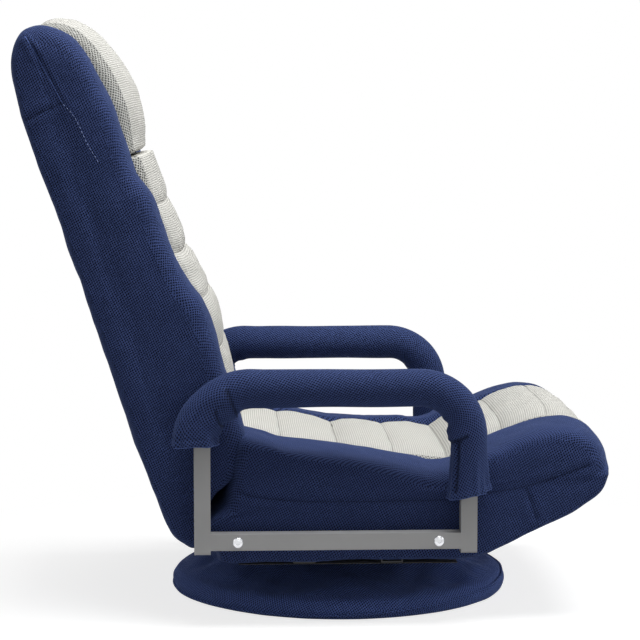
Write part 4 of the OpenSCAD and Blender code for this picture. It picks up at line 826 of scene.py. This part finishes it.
under_felt = felted("underlay_felt", (0.016, 0.016, 0.018), (0.06, 0.06, 0.062), 420.0, 1.8)
foam = felted("arm_foam_cells", (0.05, 0.05, 0.052), (0.12, 0.12, 0.122), 700.0, 0.8)
webbing = webbing_weave("strap_webbing", (0.018, 0.018, 0.020), (0.075, 0.075, 0.08))
BY_SLOT = {
    "navy_mesh": navy, "cream_mesh": cream, "webbing": webbing, "underlay_cloth": under_felt, "arm_foam": foam,
    "grey_tube": powder_coat("grey_tube_coat", (0.33, 0.33, 0.332), (0.40, 0.40, 0.403), 0.36),
    "grey_cap": powder_coat("grey_cap_plastic", (0.29, 0.29, 0.295), (0.36, 0.36, 0.365), 0.5),
    "black_steel": powder_coat("black_steel_coat", (0.014, 0.014, 0.016), (0.035, 0.035, 0.037), 0.5),
    "cage": powder_coat("cage_plastic", (0.50, 0.50, 0.46), (0.56, 0.56, 0.53), 0.45),
    "zinc": plated("zinc_plate", (0.60, 0.61, 0.63), 0.30),
    "bright_bolt": plated("bright_bolt_plate", (0.74, 0.75, 0.78), 0.16, 0.05),
}
for part in frame["record"]["subparts"]:
    for material_slot in frame["nodes"][part["node"]].material_slots:
        material_slot.material = BY_SLOT[part["material_slot"]]

# ---- foam, straps, underlays and stitches


def joined(name, parts):
    """Several meshes as one piece."""
    with bpy.context.temp_override(active_object=parts[0], object=parts[0], selected_objects=parts,
                                   selected_editable_objects=parts):
        bpy.ops.object.join()
    parts[0].name = parts[0].data.name = name
    return parts[0]


def foam_tube(side, word):
    """The arm's foam: a round tube with a square bore for the steel, rolled over at both ends, with shallow dents."""
    y = np.concatenate([[-89.0], np.linspace(-88.2, 126.4, 70), [127.2]])
    ends = np.clip(np.minimum(y + 89.4, 127.6 - y) / 5.0, 0, 1)
    a = circle(48)
    ring = np.stack([np.cos(a), np.sin(a)], -1)
    bore = np.minimum(11.6 / abs(ring).max(1), 15.5)
    dents = np.maximum(0, ripple(stacked(np.cos(a) * 22, y[:, None], np.sin(a) * 22), 26.0, 91)) * 0.8
    outer = 21.9 - 4.5 * (1 - (1 - (1 - ends[:, None]) ** 2) ** 0.5) - dents
    radius = np.concatenate([outer, np.broadcast_to(bore, outer.shape), outer[:1]])
    way = np.concatenate([y, y[::-1], y[:1]])
    grid = stacked(side * ARM_X + radius * ring[:, 0], way[:, None], ARM_TOP + radius * ring[:, 1])
    wear(piece(f"arm_foam_tube_{word}", grid, foam), "seat", "arm_foam", f"arm_foam_{word}", fill=0.8)


for side, word in SIDES:
    foam_tube(side, word)


def straps(name, place, half, places, sag, seed):
    """Woven straps across the frame, at the given (along, out) places: flat bands with rounded edges that sag a
    little and wave at their edges."""
    section = np.array([[-25, 0], [-24.6, -0.9], [-12, -1], [0, -1], [12, -1], [24.6, -0.9], [25, 0], [24.6, 0.9],
                        [12, 1], [0, 1], [-12, 1], [-24.6, 0.9]], float)
    across, thick = section.T
    x = np.concatenate([[-half], np.linspace(-half, half, 61), [half]])[:, None]
    size = np.ones_like(x)
    size[[0, -1]] = 0
    parts = []
    for k, (at, centre) in enumerate(places):
        low = -sag * (1 - (x / half) ** 2) \
            + ripple(stacked(x, across * 2, 0.0), 60.0, seed + k) * 0.5 * (1 - (x / half) ** 6)
        grid = place(x, stacked(at + across * size, centre + low + thick * size))
        parts.append(piece(f"{name}_{k}", grid, webbing))
    return joined(name, parts)


STRAP_PLACES = {"seat": [(at, 133.7) for at in (-60, 0, 60, 120)],
                "back": [(at, -12.8) for at in (210, 280, 350, 480, 550)]}
seat_webs = straps("seat_webbing", lambda x, flat: put(x, flat[..., 0], flat[..., 1]), 243.3, STRAP_PLACES["seat"],
                   1.5, 93)
wear(seat_webs, "seat", "webbing", "seat_straps")
back_webs = straps("back_webbing", lambda x, flat: on_back(x, flat[..., ::-1]), 225.8, STRAP_PLACES["back"], 1.5, 97)
wear(back_webs, "back", "webbing", "back_straps")


def base_underlay():
    """The round felt under the base: flat below, softly uneven above, with a stitched edge."""
    a = circle(180)
    r = np.concatenate([np.linspace(0, 234.6, 40), [235.3, 235.3], np.linspace(234.6, 0, 60)])[:, None]
    z = np.concatenate([np.zeros(40), [0.5, 1.6], np.full(60, 2.2)])[:, None]
    grid = stacked(r * np.cos(a), r * np.sin(a), z).copy()
    grid[..., 2] += (z > 2) * (ripple(grid, 30.0, 101) * 0.12 - 0.5 * bell(r - 229, 1.4))
    return piece("base_underlay", grid, under_felt)


def seat_underlay():
    """The cloth under the seat, round the square plate: stapled at both its edges, it sags a little between them."""
    k = np.linspace(0, 4, 160, endpoint=False)
    side, t = k.astype(int), (k % 1) * 2 - 1
    one = np.ones(160)
    square = np.stack([np.choose(side, [t, one, -t, -one]), np.choose(side, [-one, t, one, -t])], -1)
    inner, outer = np.array([79.3, 79.3]), np.array([243.3, 149.8])
    out = np.linspace(0, 1, 36)[:, None]
    flat = square * (inner + (outer - inner) * out)[:, None]
    spot = np.concatenate([flat, np.zeros((*flat.shape[:2], 1))], -1)
    low = (-1.8 + ripple(spot, 44.0, 103) * 0.7) * np.sin(np.pi * out)
    below, above = (np.concatenate([flat, (height + low)[..., None]], -1) for height in (79.6, 80.7))
    return piece("seat_underlay", np.concatenate([below, above[::-1], below[:1]]), under_felt)


felt = wear(base_underlay(), "base", "underlay_cloth", "base_bottom_cloth")
dust_cloth = wear(seat_underlay(), "seat", "underlay_cloth", "seat_bottom_cloth")

STITCH, STITCH_PITCH, YARN_RADIUS, CLEAR_OF_SIDE = 3.4, 6.2, 0.55, 330.0


def stitches(cover, line, name, yarn):
    """Short light stitches along a line on both sides of the back, laid on the cloth where a ray from outside
    meets it, with their ends in the cloth."""
    tree = BVHTree.FromObject(cover, bpy.context.evaluated_depsgraph_get())
    run = lengths(line)
    parts = []
    for side in (-1, 1):
        for begin in np.arange(2.0, run[-1] - 4, STITCH_PITCH):
            spots = np.stack([np.interp(begin + np.linspace(0, STITCH, 4), run, c) for c in line.T], 1)
            starts = on_back(np.full(4, side * CLEAR_OF_SIDE), spots) * MM
            hits = [tree.ray_cast(Vector(p), Vector((-side, 0, 0)))[0] for p in starts]
            if all(hits):
                path = np.array([list(h) for h in hits]) / MM
                path[:, 0] += side * np.array([-0.4, 0.35, 0.35, -0.4])
                parts.append(tube(f"{name}_{len(parts)}", path, YARN_RADIUS, 6, yarn))
    return joined(name, parts)


yarn = Finish("stitch_thread", Roughness=0.6)
yarn.set(Base_Color=yarn.mix(yarn.noise(yarn.where(), 900.0), (0.11, 0.15, 0.32), (0.20, 0.25, 0.45)))
wear(stitches(back_cover, smooth(BACK_STITCH_LINE, 30), "back_stitches", yarn.material), "back", "navy_mesh")

# ---- camera and light


def set_at(obj, across, up, back, at):
    """The object's axes and place, for a camera or lamp that looks against back."""
    obj.matrix_world = Matrix([[across[k], up[k], back[k], at[k]] for k in range(3)] + [[0, 0, 0, 1]])
    bpy.context.collection.objects.link(obj)


STEEP = 0.95  # height share of a lamp's direction from which its sides are set by y

# solved from the photograph: place in metres, turn and dip in radians, focal length and width in pixels
CAMERA_AT, YAW, PITCH, FOCAL, PHOTO_WIDE, SENSOR = (-3.1959, 0.1726, 0.7141), 0.045330, 0.100843, 2197.53, 640, 36
ahead = np.array([math.cos(YAW) * math.cos(PITCH), -math.sin(YAW) * math.cos(PITCH), -math.sin(PITCH)])
right = np.array([-math.sin(YAW), -math.cos(YAW), 0.0])
lens = bpy.data.cameras.new("camera")
lens.lens, lens.sensor_width = FOCAL * SENSOR / PHOTO_WIDE, SENSOR
lens.clip_start, lens.clip_end = 0.05, 60
camera = bpy.data.objects.new("camera", lens)
set_at(camera, right, np.cross(right, ahead), -ahead, CAMERA_AT)
bpy.context.scene.camera = camera


def lamp(name, at, aim_height, size, power):
    """Square soft lamp at a point, aimed at the chair's axis. Its sides lie level, a steep lamp's square to y."""
    light = bpy.data.lights.new(name, "AREA")
    light.shape, light.size, light.energy = "SQUARE", size, power
    back = np.array(at) - [0, 0, aim_height]
    back /= np.linalg.norm(back)
    side = np.cross([0, 0, 1.0] if back[2] < STEEP else [0, 1.0, 0], back)
    side /= np.linalg.norm(side)
    set_at(bpy.data.objects.new(name, light), side, np.cross(back, side), back, at)


lamp("top_lamp", (-0.40, -0.40, 2.8), 0.3, 1.8, 84)
lamp("front_lamp", (-0.5, -2.9, 1.7), 0.35, 1.6, 26)
lamp("rear_lamp", (-0.5, 2.9, 1.5), 0.35, 1.4, 6)
lamp("side_lamp", (-3.2, -0.5, 1.8), 0.35, 1.8, 3)

# the camera sees white all round, and the light that reaches the chair from there is dim
world = bpy.data.worlds.new("studio")
bpy.context.scene.world = world
world.use_nodes = True
sky = Nodes(world.node_tree)
white, dim = (sky.node("ShaderNodeBackground", None, (1, 1, 1), strength) for strength in (1.0, 0.20))
sky.node("ShaderNodeOutputWorld", None, sky.node("ShaderNodeMixShader", None, sky.seen(), dim, white))

# the floor: a grey that takes the shadows, lifted by a glow to nearly white and fading into white round the chair;
# the light that the chair gets from it comes off a plain grey
bpy.ops.mesh.primitive_circle_add(vertices=96, radius=30, fill_type="NGON", location=(0, 0, -0.0004))
floor = bpy.context.object
floor.name = "studio_floor"
ground = bpy.data.materials.new("studio_floor")
ground.use_nodes = True
mat = Nodes(ground.node_tree)
plain, shaded = (mat.node("ShaderNodeBsdfDiffuse", None, (grey,) * 3) for grey in (0.50, 0.42))
glow, far_white = (mat.node("ShaderNodeEmission", None, (1, 1, 1), strength) for strength in (0.755, 1.0))
spot = mat.node("ShaderNodeTexCoord", out="Object")
reach = mat.node("ShaderNodeVectorMath", {"operation": "LENGTH"}, spot, out="Value")
near = mat.node("ShaderNodeAddShader", None, shaded, glow)
shown = mat.node("ShaderNodeMixShader", None, reach.between(0.30, 0.80), near, far_white)
mat.node("ShaderNodeOutputMaterial", None, mat.node("ShaderNodeMixShader", None, mat.seen(), plain, shown))
floor.data.materials.append(ground)

bpy.context.scene.view_settings.view_transform = "Standard"
